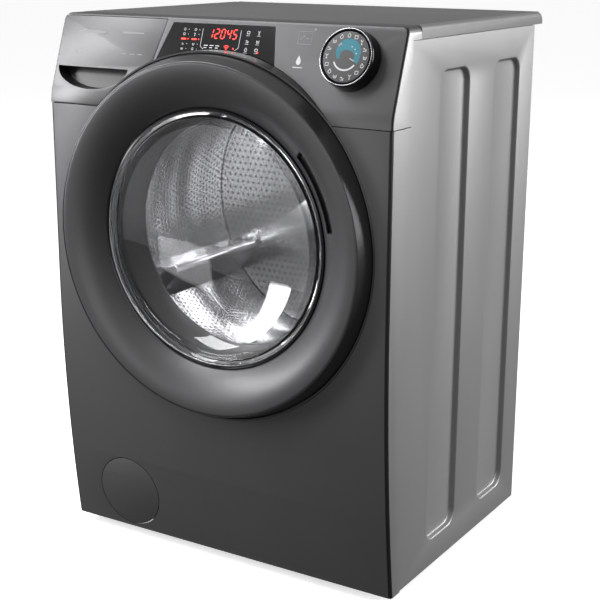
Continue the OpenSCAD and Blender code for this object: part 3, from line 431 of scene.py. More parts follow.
def paint(piece, *keys):
    piece.data.materials.clear()
    for key in keys:
        piece.data.materials.append(finishes[key])


for finishName, names in nodeFinish.items():
    for name in names.split():
        paint(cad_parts[name], finishName)
print("finishes on the frame's nodes")


frontCurve = {"drop": 0.080, "setback": 0.029, "steps": 48}
frontCurve["top"] = door["z"] - frontCurve["drop"]
curveHeight = frontCurve["top"] - cabinet["foot"]
frontCurve["radius"] = (curveHeight ** 2 + frontCurve["setback"] ** 2) / (2 * frontCurve["setback"])


def frontY(z):
    below = max(0.0, frontCurve["top"] - z)
    return cabinet["face"] + frontCurve["radius"] - math.sqrt(frontCurve["radius"] ** 2 - below ** 2)


def slopeY(z):
    return cabinet["face"] + slope["bendY"] + (z - slope["bendZ"]) * math.tan(slope["angle"])


def faceY(z):
    # depth of the console's face: flat below, a bend, then the slope
    if z >= slope["bendZ"]:
        return slopeY(z)
    share = max(0.0, z - slope["z0"]) / slope["bend"]
    return cabinet["face"] + slope["bend"] * (1 - math.sqrt(1 - share ** 2))


def lowerLine(back=0.0):
    count = frontCurve["steps"]
    return [(frontY(cabinet["foot"] + curveHeight * i / count) + back,
             cabinet["foot"] + curveHeight * i / count)
            for i in range(count + 1)]


def consoleLine(back=0.0):
    line = []
    for i in range(13):
        a = slope["angle"] * i / 12
        line.append((cabinet["face"] + slope["bend"] * (1 - math.cos(a)) + back,
                     slope["z0"] + slope["bend"] * math.sin(a)))
    return line + [(slopeY(cabinet["height"]) + back, cabinet["height"])]


def paintEdges(piece):
    # painted shade in black along the rounded upright edges, and the lightened side colour (painted light) on
    # the returns behind them
    paint(piece, "paint", "paintedEdgeShade", "litSidePaint")
    for face in piece.data.polygons:
        out = abs(face.center.x) - cabinet["halfWidth"]
        if out > -cabinet["edge"] - 0.0004 and abs(face.normal.x) > 0.2 and face.normal.y < -0.2:
            face.material_index = 1
        elif out > -0.0004 and abs(face.normal.x) > 0.9:
            face.material_index = 2


def roundRim(piece, faceY, lowest, highest, width, segments=3):
    # rounds the front face's outline at its sides and top, not the lines within it
    def onRim(edge, corners):
        first, second = corners
        onFace = all(abs(corner.y - faceY(corner.z)) < 0.0002 for corner in corners)
        across = abs(first.x - second.x) > 0.1
        inside = lowest + 0.0001 > max(first.z,
                                       second.z) or (across and min(first.z, second.z) < highest - 0.0001)
        return onFace and not inside

    pick(piece, "EDGE", onRim)
    bpy.ops.mesh.bevel(offset=width, segments=segments, affect="EDGES", clamp_overlap=True)
    bpy.ops.object.mode_set(mode="OBJECT")


def roundedTop(grow=0.0):
    # the console seen from the front: upright sides, upper corners rounded
    r, w, top = cabinet["corner"], cabinet["halfWidth"] + grow, cabinet["height"] + grow
    outline = [(-w, cabinet["split"] - 0.02), (w, cabinet["split"] - 0.02)]
    for side, start in ((1, 0), (-1, 90)):
        for i in range(9):
            a = math.radians(start + 90 * i / 8)
            outline.append((side * (w - r) + r * math.cos(a), top - r + r * math.sin(a)))
    return outline


def makeFrontPanel():
    w, skin = cabinet["halfWidth"], cabinet["skin"]
    outline = lowerLine() + [(cabinet["face"], cabinet["split"]), (cabinet["sideDepth"], cabinet["split"]),
                             (cabinet["sideDepth"], cabinet["foot"])]
    piece = acrossX("frontPanel", outline, -w, w)
    roundRim(piece, frontY, cabinet["foot"], cabinet["split"] + 0.01, cabinet["edge"], 2)
    inner = [(y + skin, z) for y, z in outline[:-2]]
    above, below = cabinet["split"] + 0.05, cabinet["foot"] - 0.05
    inner = [(inner[0][0], below)] + inner[1:-1] + [(cabinet["face"] + skin, above)]
    back = cabinet["sideDepth"] + 0.05
    cut(piece, acrossX("hollow", inner + [(back, above), (back, below)], -w + skin, w - skin))
    cut(piece, cylinderY("doorHole", 0, door["z"], collarRadius + 0.0004, low[1],
                         cabinet["sideDepth"] - 0.008))
    flapHole = cylinderY("flapHole", flap["x"], flap["z"], flap["radius"] + flap["gap"], low[1],
                         cabinet["sideDepth"], 96)
    cut(piece, flapHole)
    paintEdges(piece)
    smooth(piece, 28)
    settle(piece, "cabinet", "front_panel", None, "front_panel")


flapLow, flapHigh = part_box("filter_flap")
flap = {"z": (flapLow[2] + flapHigh[2]) / 2, "radius": (flapHigh[2] - flapLow[2]) / 2, "gap": 0.0012,
        "thick": 0.002}
flap["x"] = flapHigh[0] - flap["radius"]
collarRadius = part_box("porthole_surround")[1][0]
makeFrontPanel()
flapArm = {"pinX": -0.2585, "pinBack": 0.008, "half": 0.008, "outside": 0.021, "inside": 0.0178,
           "start": -15, "sweep": 112,
           "steps": 18, "barrel": 0.0045}


def makeFlap():
    w = cabinet["halfWidth"]
    layer = lowerLine()[:30] + list(reversed(lowerLine(flap["thick"])[:30]))
    piece = acrossX("filterFlap", layer, -w, 0)
    cut(piece, cylinderY("flapEdge", flap["x"], flap["z"], flap["radius"], low[1], high[1], 128), "INTERSECT")
    bevelEdges(piece, 0.0004, 2, 50)
    # a curved arm swings round the pin behind the panel
    pinX, pinY = flapArm["pinX"], frontY(flap["z"]) + flapArm["pinBack"]
    half, inside = flapArm["half"], flapArm["inside"]
    turns = [math.radians(flapArm["start"] + flapArm["sweep"] * i / flapArm["steps"])
             for i in range(flapArm["steps"] + 1)]
    arc = [(pinX + flapArm["outside"] * math.cos(a), pinY + flapArm["outside"] * math.sin(a)) for a in turns]
    arc += [(pinX + inside * math.cos(a), pinY + inside * math.sin(a)) for a in reversed(turns)]
    arm = prism("arm", [(x, y, flap["z"] - half) for x, y in arc], (0, 0, 2 * half))
    spoke = block("spoke", pinX - 0.002, pinX + 0.002, pinY + 0.002, pinY + 0.0195, flap["z"] - half,
                  flap["z"] + half)
    barrel = uprightPin(pinX, pinY, flap["z"], flapArm["barrel"], 2 * half, 32)
    foot = block("foot", pinX + inside, pinX + 0.026, pinY - 0.0065, pinY - 0.0025, flap["z"] - half,
                 flap["z"] + half)
    piece = joinAll([piece, arm, spoke, barrel, foot], "filterFlap")
    smooth(piece, 30)
    settle(piece, "filter_flap", "filter_flap", finishes["paint"], "filter_flap")


makeFlap()
print("front panel and filter flap")


drawer = {"edgeX": 0.101, "lean": 13, "gap": 0.0008, "thick": 0.014, "top": cabinet["height"] - 0.004,
          "ribFoot": 0.778, "ribTop": 0.811}
display = {"halfWidth": 0.089, "top": cabinet["height"] - 0.008, "deep": 0.054}
knob = {"x": cabinet["halfWidth"] - 0.077, "z": cabinet["height"] - 0.048, "radius": 0.041, "height": 0.022,
        "bore": 0.01405}
pull = {"halfWidth": 0.068, "deep": 0.032, "x": -cabinet["halfWidth"] + 0.006 + 0.068,
        "z": cabinet["height"] - 0.079,
        "back": 0.0215}


def drawerOutline(grow):
    lowX = -drawer["edgeX"] - 0.018 + grow
    lowZ = drawer["top"] - 0.018 / math.tan(math.radians(drawer["lean"]))
    return [(-cabinet["halfWidth"] - 0.001 - grow, slope["z0"] - grow), (0.0, slope["z0"] - grow),
            (lowX, lowZ),
            (-drawer["edgeX"] + grow, drawer["top"] + grow),
            (-cabinet["halfWidth"] - 0.001 - grow, drawer["top"] + grow)]


def consoleLayer(name, front, back, x0, x1):
    line = consoleLine(front)
    tail = (line[-1][0] + math.tan(slope["angle"]) * 0.002, cabinet["height"] + 0.002)
    outline = [(line[0][0], slope["z0"] - 0.002)] + line[:-1] + [tail]
    depth = back - front
    return acrossX(name, outline + [(y + depth, z) for y, z in reversed(outline)], x0, x1)


def onSlope(x, z, height=0.0):
    # local X across, Y up the slope, Z straight out of it
    centre = Vector((x, slopeY(z), z))
    turn = Matrix.Rotation(math.pi / 2 - slope["angle"], 4, "X")
    return Matrix.Translation(centre) @ turn @ Matrix.Translation((0, 0, height))


def moveTo(piece, place):
    makeActive(piece)
    piece.data.transform(place)
    return piece


def makeConsole():
    w, skin = cabinet["halfWidth"], cabinet["skin"]
    line = consoleLine()
    outline = line + [(cabinet["capBack"], cabinet["height"]), (cabinet["capBack"], cabinet["topUnder"]),
                      (cabinet["sideDepth"], cabinet["topUnder"]), (cabinet["sideDepth"], slope["z0"])]
    piece = acrossX("console", outline, -w, w)
    cut(piece, alongY("rounded", roundedTop(), low[1] - 0.01, cabinet["capBack"] + 0.01), "INTERSECT")
    roundRim(piece, faceY, slope["z0"], cabinet["height"], 0.003)
    back = cabinet["capBack"] + 0.01
    inner = [(y + skin, z) for y, z in line[:-1]]
    inner = [(inner[0][0], slope["z0"] - 0.01)] + inner[1:]
    topZ = cabinet["topUnder"] - 0.001
    inner += [(slopeY(topZ) + skin, topZ), (back, topZ), (back, slope["z0"] - 0.01)]
    cut(piece, acrossX("hollow", inner, -w + skin, w - skin))
    cut(piece, cylinderY("doorHole", 0, door["z"], collarRadius + 0.0004, low[1],
                         cabinet["sideDepth"] + 0.01))
    hole = moveTo(cylinderY("knobHole", 0, 0, knob["bore"], -0.02, 0.02, 64),
                  Matrix.Rotation(math.pi / 2, 4, "X"))
    cut(piece, moveTo(hole, onSlope(knob["x"], knob["z"])))
    bay = consoleLayer("bay", -0.01, drawer["thick"] + 0.001, -w - 0.01, 0)
    cut(bay, alongY("bayShape", drawerOutline(drawer["gap"]), low[1] - 0.01, 0), "INTERSECT")
    cut(piece, bay)
    grow = 0.0003
    corners = [(-display["halfWidth"] - 0.021 - grow, display["top"] - display["deep"]),
               (display["halfWidth"] + 0.010 + grow, display["top"] - display["deep"]),
               (display["halfWidth"] + grow, display["top"] + grow),
               (-display["halfWidth"] - grow, display["top"] + grow)]
    well = consoleLayer("well", -0.01, 0.0095, -0.15, 0.15)
    cut(well, alongY("wellShape", corners, low[1] - 0.01, 0), "INTERSECT")
    cut(well, cylinderY("wellArc", 0, door["z"], collarRadius + 0.0004, low[1] - 0.01, 0))
    cut(piece, well)
    paintEdges(piece)
    smooth(piece, 28)
    settle(piece, "cabinet", "console", None, "console")


makeConsole()


def pullOutline(grow, steps=28):
    return [(pull["x"] + (pull["halfWidth"] + grow) * math.cos(math.pi + math.pi * i / steps),
             pull["z"] + grow + (pull["deep"] + grow) * math.sin(math.pi + math.pi * i / steps))
             for i in range(steps + 1)]


def makeDrawerFront():
    w = cabinet["halfWidth"]
    piece = consoleLayer("drawerFront", 0, drawer["thick"], -w, 0)
    shape = [(max(-w, x), z) for x, z in drawerOutline(0)]
    cut(piece, alongY("frontShape", shape, low[1] - 0.01, 0), "INTERSECT")
    cut(piece, alongY("rounded", roundedTop(-0.0002), low[1] - 0.01, 0.01), "INTERSECT")
    cut(piece, cylinderY("doorArc", 0, door["z"], collarRadius + 0.0008, low[1] - 0.01, 0))
    bevelEdges(piece, 0.0008, 2, 40)
    cup = consoleLayer("cup", 0.003, 0.024, -w, 0)
    cut(cup, alongY("cupShape", pullOutline(0.0025), low[1] - 0.01, 0), "INTERSECT")
    cut(piece, cup, "UNION")
    hollow = consoleLayer("hollow", -0.01, pull["back"], -w, 0)
    cut(hollow, alongY("pullShape", pullOutline(0), low[1] - 0.01, 0), "INTERSECT")
    cut(piece, hollow)
    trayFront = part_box("detergent_tray")[0]
    ribTop = drawer["ribTop"]
    ribs = [block("rib", x, x + 0.004, slopeY(ribTop) + drawer["thick"] - 0.006, trayFront[1],
                  drawer["ribFoot"], ribTop)
            for x in (trayFront[0] + 0.012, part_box("detergent_tray")[1][0] - 0.016)]
    piece = joinAll([piece] + ribs, "drawerFront")
    # the drawer front takes the lightened paint, painted light
    paint(piece, "litDrawerPaint", "pull")
    # painted shade: the faces inside the pull recess take the dark second finish
    for face in piece.data.polygons:
        x, y, z = face.center
        across = (x - pull["x"]) / (pull["halfWidth"] + 0.0005)
        down = min(0, z - pull["z"] - 0.0004) / (pull["deep"] + 0.0005)
        level = pull["z"] - pull["deep"] - 0.001 < z < pull["z"] + 0.0005
        if across ** 2 + down ** 2 <= 1 and level and y > slopeY(z) + 0.0006:
            face.material_index = 1
    smooth(piece, 28)
    settle(piece, "drawer", "drawer_front", None, "drawer_front")


makeDrawerFront()
print("console and drawer front")


pressing = {"depth": 0.008, "width": 0.100, "corner": 0.022, "slopeIn": 0.0025, "sheet": 0.0012,
            "blank": 0.014,
            "low": cabinet["foot"] + 0.043, "high": cabinet["height"] - 0.066, "at": (0.325, 0.76)}


def makeSidePanel(side):
    name = "side_panel_right" if side > 0 else "side_panel_left"
    boxLow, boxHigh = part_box(name)
    face = boxHigh[0] if side > 0 else -boxLow[0]
    piece = block("sidePanel", face - pressing["blank"], face, boxLow[1], boxHigh[1], boxLow[2], boxHigh[2])
    sideFront, sideBack = cabinet["sideDepth"], boxHigh[1]
    for share in pressing["at"]:
        y = sideFront + (sideBack - sideFront) * share
        cutter = block("pressing", face - pressing["depth"], face + 0.004, y - pressing["width"] / 2,
                       y + pressing["width"] / 2, pressing["low"], pressing["high"])
        # round the corners of the pressing, then draw its floor in
        pick(cutter, "EDGE", lambda edge, corners: abs(corners[0].x - corners[1].x) > 0.005)
        bpy.ops.mesh.bevel(offset=pressing["corner"], segments=8, affect="EDGES")
        bpy.ops.object.mode_set(mode="OBJECT")
        middleZ = (pressing["low"] + pressing["high"]) / 2
        for vertex in cutter.data.vertices:
            if vertex.co.x < face:
                vertex.co.y -= math.copysign(pressing["slopeIn"], vertex.co.y - y)
                vertex.co.z -= math.copysign(pressing["slopeIn"], vertex.co.z - middleZ)
        cut(piece, cutter)
    # keep the outer skin with its pressings, and give it the thickness of the sheet
    def unwanted(part, corners):
        if max(corner.x for corner in corners) < face - pressing["depth"] - 0.001:
            return True
        ends = ((1, boxLow[1]), (1, boxHigh[1]), (2, boxLow[2]), (2, boxHigh[2]))
        return any(all(abs(corner[axis] - value) < 0.0003 for corner in corners) for axis, value in ends)

    pick(piece, "FACE", unwanted)
    bpy.ops.mesh.delete(type="FACE")
    bpy.ops.object.mode_set(mode="OBJECT")
    bevelEdges(piece, 0.0022, 3, 30)
    applyModifier(piece, "SOLIDIFY", thickness=pressing["sheet"], offset=-1, use_even_offset=False)
    lip = block("lip", face - 0.016, face - 0.0003, boxLow[1] + 0.0002, boxLow[1] + 0.0012, boxLow[2],
                boxHigh[2])
    piece = joinAll([piece, lip], "sidePanelRight" if side > 0 else "sidePanelLeft")
    if side < 0:
        piece.data.transform(Matrix.Scale(-1, 4, (1, 0, 0)))
        piece.data.flip_normals()
    smooth(piece, 30)
    # the side panel takes the lightened side paint, painted light for the lit side
    settle(piece, "cabinet", name, finishes["litSidePaint"], name)


for side in (1, -1):
    makeSidePanel(side)


def makeWorktop():
    boxLow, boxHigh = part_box("worktop")
    board = block("worktopBoard", boxLow[0], boxHigh[0], boxLow[1], boxHigh[1], boxLow[2], boxHigh[2])
    bevelEdges(board, 0.0008, 3)
    smooth(board)
    settle(board, "cabinet", "worktop", finishes["worktopSkin"], "worktop")

    trimLow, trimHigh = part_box("worktop_trim")
    width, back, radius = boxLow[0] - trimLow[0] - 0.0003, trimHigh[1], 0.016
    z0, z1 = trimLow[2], trimHigh[2]
    outline = [(trimLow[1], z0), (trimLow[1], z1)]
    outline += [(back - radius + radius * math.sin(math.radians(a)),
                 z1 - radius + radius * math.cos(math.radians(a)))
                for a in range(0, 91, 10)]
    outline.append((back, z0))
    strips = []
    for side in (-1, 1):
        outer = trimHigh[0] * side
        strip = acrossX("strip", outline, outer, outer - side * width)
        def outerRim(edge, corners):
            front = all(abs(corner.y - trimLow[1]) < 0.0001 for corner in corners)
            outside = all(abs(corner.x - outer) < 0.0001 for corner in corners)
            return outside and not front and max(corner.z for corner in corners) > z0 + 0.0006

        pick(strip, "EDGE", outerRim)
        bpy.ops.mesh.bevel(offset=0.0065, segments=6, affect="EDGES", clamp_overlap=True)
        bpy.ops.object.mode_set(mode="OBJECT")
        cleanUp(strip)
        strips.append(strip)
    bar = [(boxHigh[1] + 0.0003, z0), (boxHigh[1] + 0.0003, z1)]
    rear = 0.006
    bar += [(back - rear + rear * math.sin(math.radians(a)), z1 - rear + rear * math.cos(math.radians(a)))
            for a in range(0, 91, 15)]
    strips.append(acrossX("bar", bar + [(back, z0)], boxLow[0], boxHigh[0]))
    trim = joinAll(strips, "worktopTrim")
    smooth(trim, 32)
    settle(trim, "cabinet", "worktop_trim", finishes["trimSkin"], "worktop_trim")


makeWorktop()
print("side panels, worktop and its trim")


ring = {"face": cabinet["face"], "crest": door["base"] - door["taper"], "centre": (0, door["z"])}
ring["dishOut"] = ring["crest"] - 0.002
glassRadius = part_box("door_glass")[1][0]
ring["dishIn"] = glassRadius + 0.0075
hinge = {"x": -(door["base"] - 0.015), "y": ring["face"] - 0.009, "half": 0.030, "room": 0.0064}
dishEnd = ring["face"] + 0.002


def dishY(r):
    share = (ring["dishOut"] - r) / (ring["dishOut"] - ring["dishIn"])
    return door["crestY"] + 0.0004 + (dishEnd - door["crestY"] - 0.0004) * share ** 2


def hingeNotch():
    half = hinge["half"] + 0.0015
    return block("notch", hinge["x"] - 0.025, hinge["x"] + 0.009, hinge["y"] - 0.0075, ring["face"] + 0.014,
                 door["z"] - half, door["z"] + half)


def makeDoorRings():
    face, crest, crestY, base = ring["face"], ring["crest"], door["crestY"], door["base"]
    rounding = [(crest - 0.0012 + 0.0016 * math.sin(math.radians(a)),
                 crestY + 0.0016 - 0.0016 * math.cos(math.radians(a)))
                for a in (80, 60, 40, 20, 0)]
    flank = [(base, face + 0.001), (base - 0.0008, face - 0.0015)]
    flank += [(base - 0.0008 - (base - 0.0008 - crest - 0.0006) * i / 6,
               face - 0.0015 + (crestY + 0.003 - face) * i / 6)
              for i in range(1, 6)]
    flank += rounding + [(crest - 0.0016, crestY), (crest - 0.0016, crestY + 0.0034),
                         (crest - 0.005, crestY + 0.0068),
                         (crest - 0.005, face + 0.0062), (base - 0.005, face + 0.0062),
                         (base - 0.001, face + 0.001)]
    piece = spun("doorOuterRing", flank, ring["centre"], 224)
    cut(piece, hingeNotch())
    reach = hinge["half"] + 0.020
    cut(piece, uprightPin(hinge["x"], hinge["y"], door["z"], hinge["room"], 2 * reach, 40))
    cut(piece, block("room", hinge["x"] - 0.001, hinge["x"] + 0.014, hinge["y"], face + 0.012,
                     door["z"] - reach, door["z"] + reach))
    smooth(piece, 40)
    settle(piece, "door", "door_outer_ring", finishes["flank"], "door_outer_ring")

    steps = 22
    radii = [ring["dishOut"] - (ring["dishOut"] - ring["dishIn"]) * i / steps for i in range(steps + 1)]
    dish = [(r, dishY(r)) for r in radii] + [(r, dishY(r) + 0.0025) for r in reversed(radii)]
    piece = spun("doorDishRing", dish, ring["centre"], 224)
    slotOutline = [(handle["r0"], crestY - 0.01), (handle["r1"], crestY - 0.01),
                   (handle["r1"], face + 0.02), (handle["r0"], face + 0.02)]
    cut(piece, spun("handleSlot", slotOutline, ring["centre"], 40, math.radians(handle["a0"]),
                    handle["a1"] - handle["a0"]))
    bevelEdges(piece, 0.0006, 2, 50)
    cut(piece, hingeNotch())
    smooth(piece, 40)
    settle(piece, "door", "door_dish_ring", finishes["dish"], "door_dish_ring")

    # the finger recess: a brushed plate that slopes in
    cupY = face + 0.0034
    r0, r1 = handle["r0"], handle["r1"]
    outer = [(r0 - 0.002, dishY(r0 - 0.002) + 0.0027), (r1 + 0.002, dishY(r1 + 0.002) + 0.0027),
             (r1 + 0.002, cupY), (r0 - 0.002, cupY)]
    inner = [(r0 - 0.0002, crestY), (r1 + 0.0002, crestY), (r1 + 0.0002, face - 0.0085),
             (r0 + 0.004, face + 0.0018), (r0 - 0.0002, face + 0.0018)]
    cup = spun("doorHandleInsert", outer, ring["centre"], 40, math.radians(handle["a0"] - 1),
               handle["a1"] - handle["a0"] + 2)
    cut(cup, spun("scoop", inner, ring["centre"], 40, math.radians(handle["a0"] + 0.2),
                  handle["a1"] - handle["a0"] - 0.4))
    smooth(cup, 30)
    settle(cup, "door", "door_handle_insert", finishes["brushed"], "door_handle_insert")

    # bright ring and the dark glass rim inside it
    g = glassRadius
    trim = [(g + 0.0003, face + 0.0055), (g + 0.0003, face + 0.0016), (g + 0.0010, face + 0.0004),
            (g + 0.0020, face + 0.0002),
            (g + 0.0026, face + 0.0010), (g + 0.0046, face + 0.0012), (g + 0.0052, face - 0.0004),
            (g + 0.0060, face - 0.0006),
            (g + 0.0067, face + 0.0004), (g + 0.0067, face + 0.0055)]
    piece = spun("doorTrimRing", trim, ring["centre"], 192)
    paint(piece, "blackGloss", "brightRing")
    for part in piece.data.polygons:
        radius = math.hypot(part.center.x, part.center.z - door["z"])
        part.material_index = 1 if g + 0.0004 < radius < g + 0.0024 and part.normal.y < -0.3 else 0
    smooth(piece, 35)
    settle(piece, "door", "door_trim_ring", None, "door_trim_ring")


handle = {"r0": ring["dishIn"] + (ring["dishOut"] - ring["dishIn"]) * 0.16,
          "r1": ring["dishIn"] + (ring["dishOut"] - ring["dishIn"]) * 0.38, "a0": 10, "a1": 42}
makeDoorRings()


def makeBowl():
    # clear bowl: thick flange, steep wall, rounded corner, nearly flat end
    g, face, wall = glassRadius, ring["face"], 0.004
    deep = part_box("door_glass")[1][1] - face
    inner = g - 0.0035 - wall

    def bowlLine(r, d):
        line = []
        for i in range(21):
            a = math.radians(90 * i / 20)
            line.append((r - 0.030 - (r - 0.066) * math.sin(a) * i / 20 + 0.030 * math.cos(a),
                         face + d * (0.12 + 0.88 * math.sin(a))))
        return line

    inside = bowlLine(inner + 0.0006, deep - wall)
    outside = bowlLine(inner + wall - 0.0006, deep - 0.0002)
    tip = 0.0008
    outline = [(tip, face + deep - 0.0002), (tip, face + deep - wall)] + list(reversed(inside))
    outline += [(inner + 0.0006, face + 0.0012), (g - 0.0004, face + 0.0012),
                (g - 0.0004, face + 0.0055)] + outside
    bowl = spun("doorGlass", outline, ring["centre"], 160)
    makeActive(bowl)
    bpy.ops.object.mode_set(mode="EDIT")
    bpy.ops.mesh.select_mode(type="EDGE")
    bpy.ops.mesh.select_all(action="DESELECT")
    bpy.ops.mesh.select_non_manifold()
    bpy.ops.mesh.edge_face_add()
    bpy.ops.object.mode_set(mode="OBJECT")
    smooth(bowl, 40)
    bowl.visible_shadow = False
    settle(bowl, "door", "door_glass", finishes["glass"], "door_glass")


makeBowl()
print("door")


mouth = glassRadius + 0.012


def makeGasket():
    face = ring["face"]
    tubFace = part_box("tub_front")[0][1] + 0.012
    lip = glassRadius - 0.013
    profile = [(glassRadius - 0.0012, face + 0.0125), (mouth - 0.003, face + 0.0095),
               (mouth - 0.0007, face + 0.0095),
               (mouth - 0.0007, face + 0.025), (mouth + 0.004, face + 0.029), (mouth + 0.011, face + 0.033),
               (mouth + 0.0118, face + 0.038), (mouth + 0.010, face + 0.043), (mouth + 0.002, face + 0.048),
               (mouth - 0.0022, face + 0.053), (mouth - 0.0022, tubFace - 0.0005),
               (mouth - 0.0048, tubFace - 0.0005),
               (lip + 0.003, tubFace - 0.0008), (lip, tubFace - 0.0030), (lip + 0.0006, tubFace - 0.006),
               (mouth - 0.009, face + 0.056), (mouth - 0.0052, face + 0.050),
               (mouth + 0.001, face + 0.0445), (mouth + 0.0078, face + 0.040),
               (mouth + 0.0082, face + 0.036), (mouth + 0.001, face + 0.031), (mouth - 0.0038, face + 0.027),
               (mouth - 0.0045, face + 0.016)]
    piece = spun("gasket", profile, ring["centre"], 160)
    smooth(piece, 70)
    settle(piece, "cabinet", "gasket", finishes["gasketRubber"], "gasket")


makeGasket()
lifter = {"height": 0.062, "half": 0.030, "tip": 0.009, "fromFront": 0.030, "fromBack": 0.012}


def makeDrum():
    boxLow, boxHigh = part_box("drum")
    radius, wall, front, back = boxHigh[0], 0.0015, boxLow[1], boxHigh[1]
    swells = 4
    shellFront = front + 0.012
    steps = 24

    def shell(i):
        # shallow bands pressed round the shell
        return 0.0012 * abs(math.sin(math.pi * swells * i / steps))

    outline = [(radius - shell(i), back - (back - shellFront) * i / steps) for i in range(steps + 1)]
    outline += [(radius - 0.001, front + 0.005), (radius - 0.004, front + 0.0015), (radius - 0.008, front),
                (mouth + 0.006, front), (mouth + 0.002, front + 0.0012), (mouth, front + 0.005),
                (mouth, front + 0.012),
                (mouth + wall, front + 0.012), (mouth + wall, front + 0.0055), (mouth + 0.0055, front + wall),
                (radius - 0.009, front + wall), (radius - 0.0055, front + 0.003),
                (radius - wall - 0.0012, front + 0.007)]
    outline += [(radius - wall - shell(i), back - (back - shellFront) * i / steps)
                for i in range(steps, -1, -1)]
    piece = spun("drumShell", outline, ring["centre"], 144)
    smooth(piece, 50)
    settle(piece, "drum", "drum", finishes["drumShell"], "drum")

    discLow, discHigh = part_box("drum_back")
    deep = discHigh[1] - discLow[1]
    frontLine, backLine = [], []
    for i in range(25):
        r = 0.001 + (discHigh[0] - 0.0025) * i / 24
        # a raised centre boss, a dish, and a ridge near the rim, all inside the sheet's box
        lift = 0.35 * deep * (1 + math.cos(math.pi * min(1, r / 0.06))) * 0.5
        lift += 0.3 * deep * math.exp(-((r - 0.17) / 0.02) ** 2)
        frontLine.append((r, discLow[1] + 0.7 * deep - lift))
        backLine.append((r, discHigh[1] - lift * 0.2))
    disc = spun("drumBack", frontLine + list(reversed(backLine)), ring["centre"], 128)
    arms = []
    for i in range(3):
        angle = math.radians(120 * i + 90)
        arm = prism("arm", [(0.012, discLow[1] + 0.001, -0.030), (0.19, discLow[1] + 0.001, -0.011),
                            (0.205, discLow[1] + 0.001, 0),
                            (0.19, discLow[1] + 0.001, 0.011), (0.012, discLow[1] + 0.001, 0.030)],
                            (0, -0.007, 0))
        bevelEdges(arm, 0.004, 4, 40)
        arm.data.transform(Matrix.Translation((0, 0, door["z"])) @ Matrix.Rotation(-angle, 4, "Y"))
        smooth(arm, 40)
        arms.append(arm)
    smooth(disc, 40)
    settle(joinAll(arms, "drumBackArms"), "drum", "drum_back", finishes["lifterSteel"])
    settle(disc, "drum", "drum_back", finishes["drumDisc"], "drum_back")

    # three lifters, each a hollow ridge with a rounded crest
    lifters = []
    shellIn = radius - 0.0058
    crest = radius - lifter["height"]
    half, tip = lifter["half"], lifter["tip"]
    y0, y1 = front + lifter["fromFront"], back - lifter["fromBack"]
    for i in range(3):
        angle = math.radians(120 * i - 30)
        section = []
        for k in range(13):
            a = math.radians(180 * k / 12)
            section.append((crest + tip - tip * math.sin(a), -tip * math.cos(a)))
        foot = [(shellIn - 0.002, -half), (shellIn - 0.012, -half * 0.75)]
        section = foot + section + [(x, -z) for x, z in reversed(foot)]
        place = [(x, y0, z) for x, z in section]
        ridge = prism("lifter", place, (0, y1 - y0, 0))
        bevelEdges(ridge, 0.003, 3, 50)
        ridge.data.transform(Matrix.Translation((0, 0, door["z"])) @ Matrix.Rotation(-angle, 4, "Y"))
        lifters.append(ridge)
    piece = joinAll(lifters, "drumLifters")
    smooth(piece, 40)
    settle(piece, "drum", "drum_lifters", finishes["lifterSteel"], "drum_lifters")


makeDrum()
print("gasket and drum")


def makeKnob():
    r, h, bore = knob["radius"], knob["height"], knob["bore"]
    outline = [(bore, 0.0021), (r + 0.0012, 0.0007), (r + 0.0020, 0.0012), (r + 0.0018, 0.004),
               (r + 0.0004, h - 0.004),
               (r - 0.0002, h - 0.0012), (r - 0.0010, h - 0.0003), (r - 0.0022, h - 0.0001),
               (r - 0.0032, h - 0.0006),
               (r - 0.0044, h - 0.0022), (r - 0.0045, 0.0052), (bore, 0.0049)]
    piece = spun("programmeKnob", [(radius, -height) for radius, height in outline], (0, 0), 128)
    piece.data.transform(onSlope(knob["x"], knob["z"]) @ Matrix.Rotation(-math.pi / 2, 4, "X"))
    paint(piece, "blackGloss", "brightRing")
    back = onSlope(knob["x"], knob["z"]).inverted()
    for face in piece.data.polygons:
        local = back @ face.center
        radius = math.hypot(local.x, local.y)
        face.material_index = 1 if local.z > h - 0.0010 and r - 0.0024 < radius < r - 0.0012 else 0
    smooth(piece, 40)
    settle(piece, "knob", "programme_knob", None, "programme_knob")

    faceR = r - 0.0055
    dome = [(0.0006, h - 0.0006)] + [(faceR * i / 8, h - 0.0006 - 0.0004 * (i / 8) ** 2) for i in range(1, 8)]
    dome += [(faceR - 0.0004, h - 0.0012), (faceR, h - 0.0017), (faceR, h - 0.0038), (0.0006, h - 0.0038)]
    disc = spun("dialFace", [(radius, -height) for radius, height in dome], (0, 0), 96)
    disc.data.transform(onSlope(knob["x"], knob["z"]) @ Matrix.Rotation(-math.pi / 2, 4, "X"))
    smooth(disc, 40)
    settle(disc, "cabinet", "dial_face", finishes["dialSilver"], "dial_face")


makeKnob()


# prints are thin raised shapes, drawn flat and laid on the slope

def flatShape(name, points, thick=0.00012):
    return prism(name, [(x, y, 0) for x, y in points], (0, 0, thick))


def bar(x0, y0, x1, y1, width):
    along = Vector((x1 - x0, y1 - y0)).normalized()
    side = Vector((-along.y, along.x)) * width / 2
    return [(x0 + side.x, y0 + side.y), (x0 - side.x, y0 - side.y), (x1 - side.x, y1 - side.y),
            (x1 + side.x, y1 + side.y)]


def arcBand(x, y, radius, width, a0, a1, steps=24):
    outer, inner = [], []
    for i in range(steps + 1):
        a = math.radians(a0 + (a1 - a0) * i / steps)
        outer.append((x + (radius + width / 2) * math.cos(a), y + (radius + width / 2) * math.sin(a)))
        inner.append((x + (radius - width / 2) * math.cos(a), y + (radius - width / 2) * math.sin(a)))
    return outer + list(reversed(inner))


def dot(x, y, radius, sides=14):
    return [(x + radius * math.cos(2 * math.pi * i / sides), y + radius * math.sin(2 * math.pi * i / sides))
            for i in range(sides)]


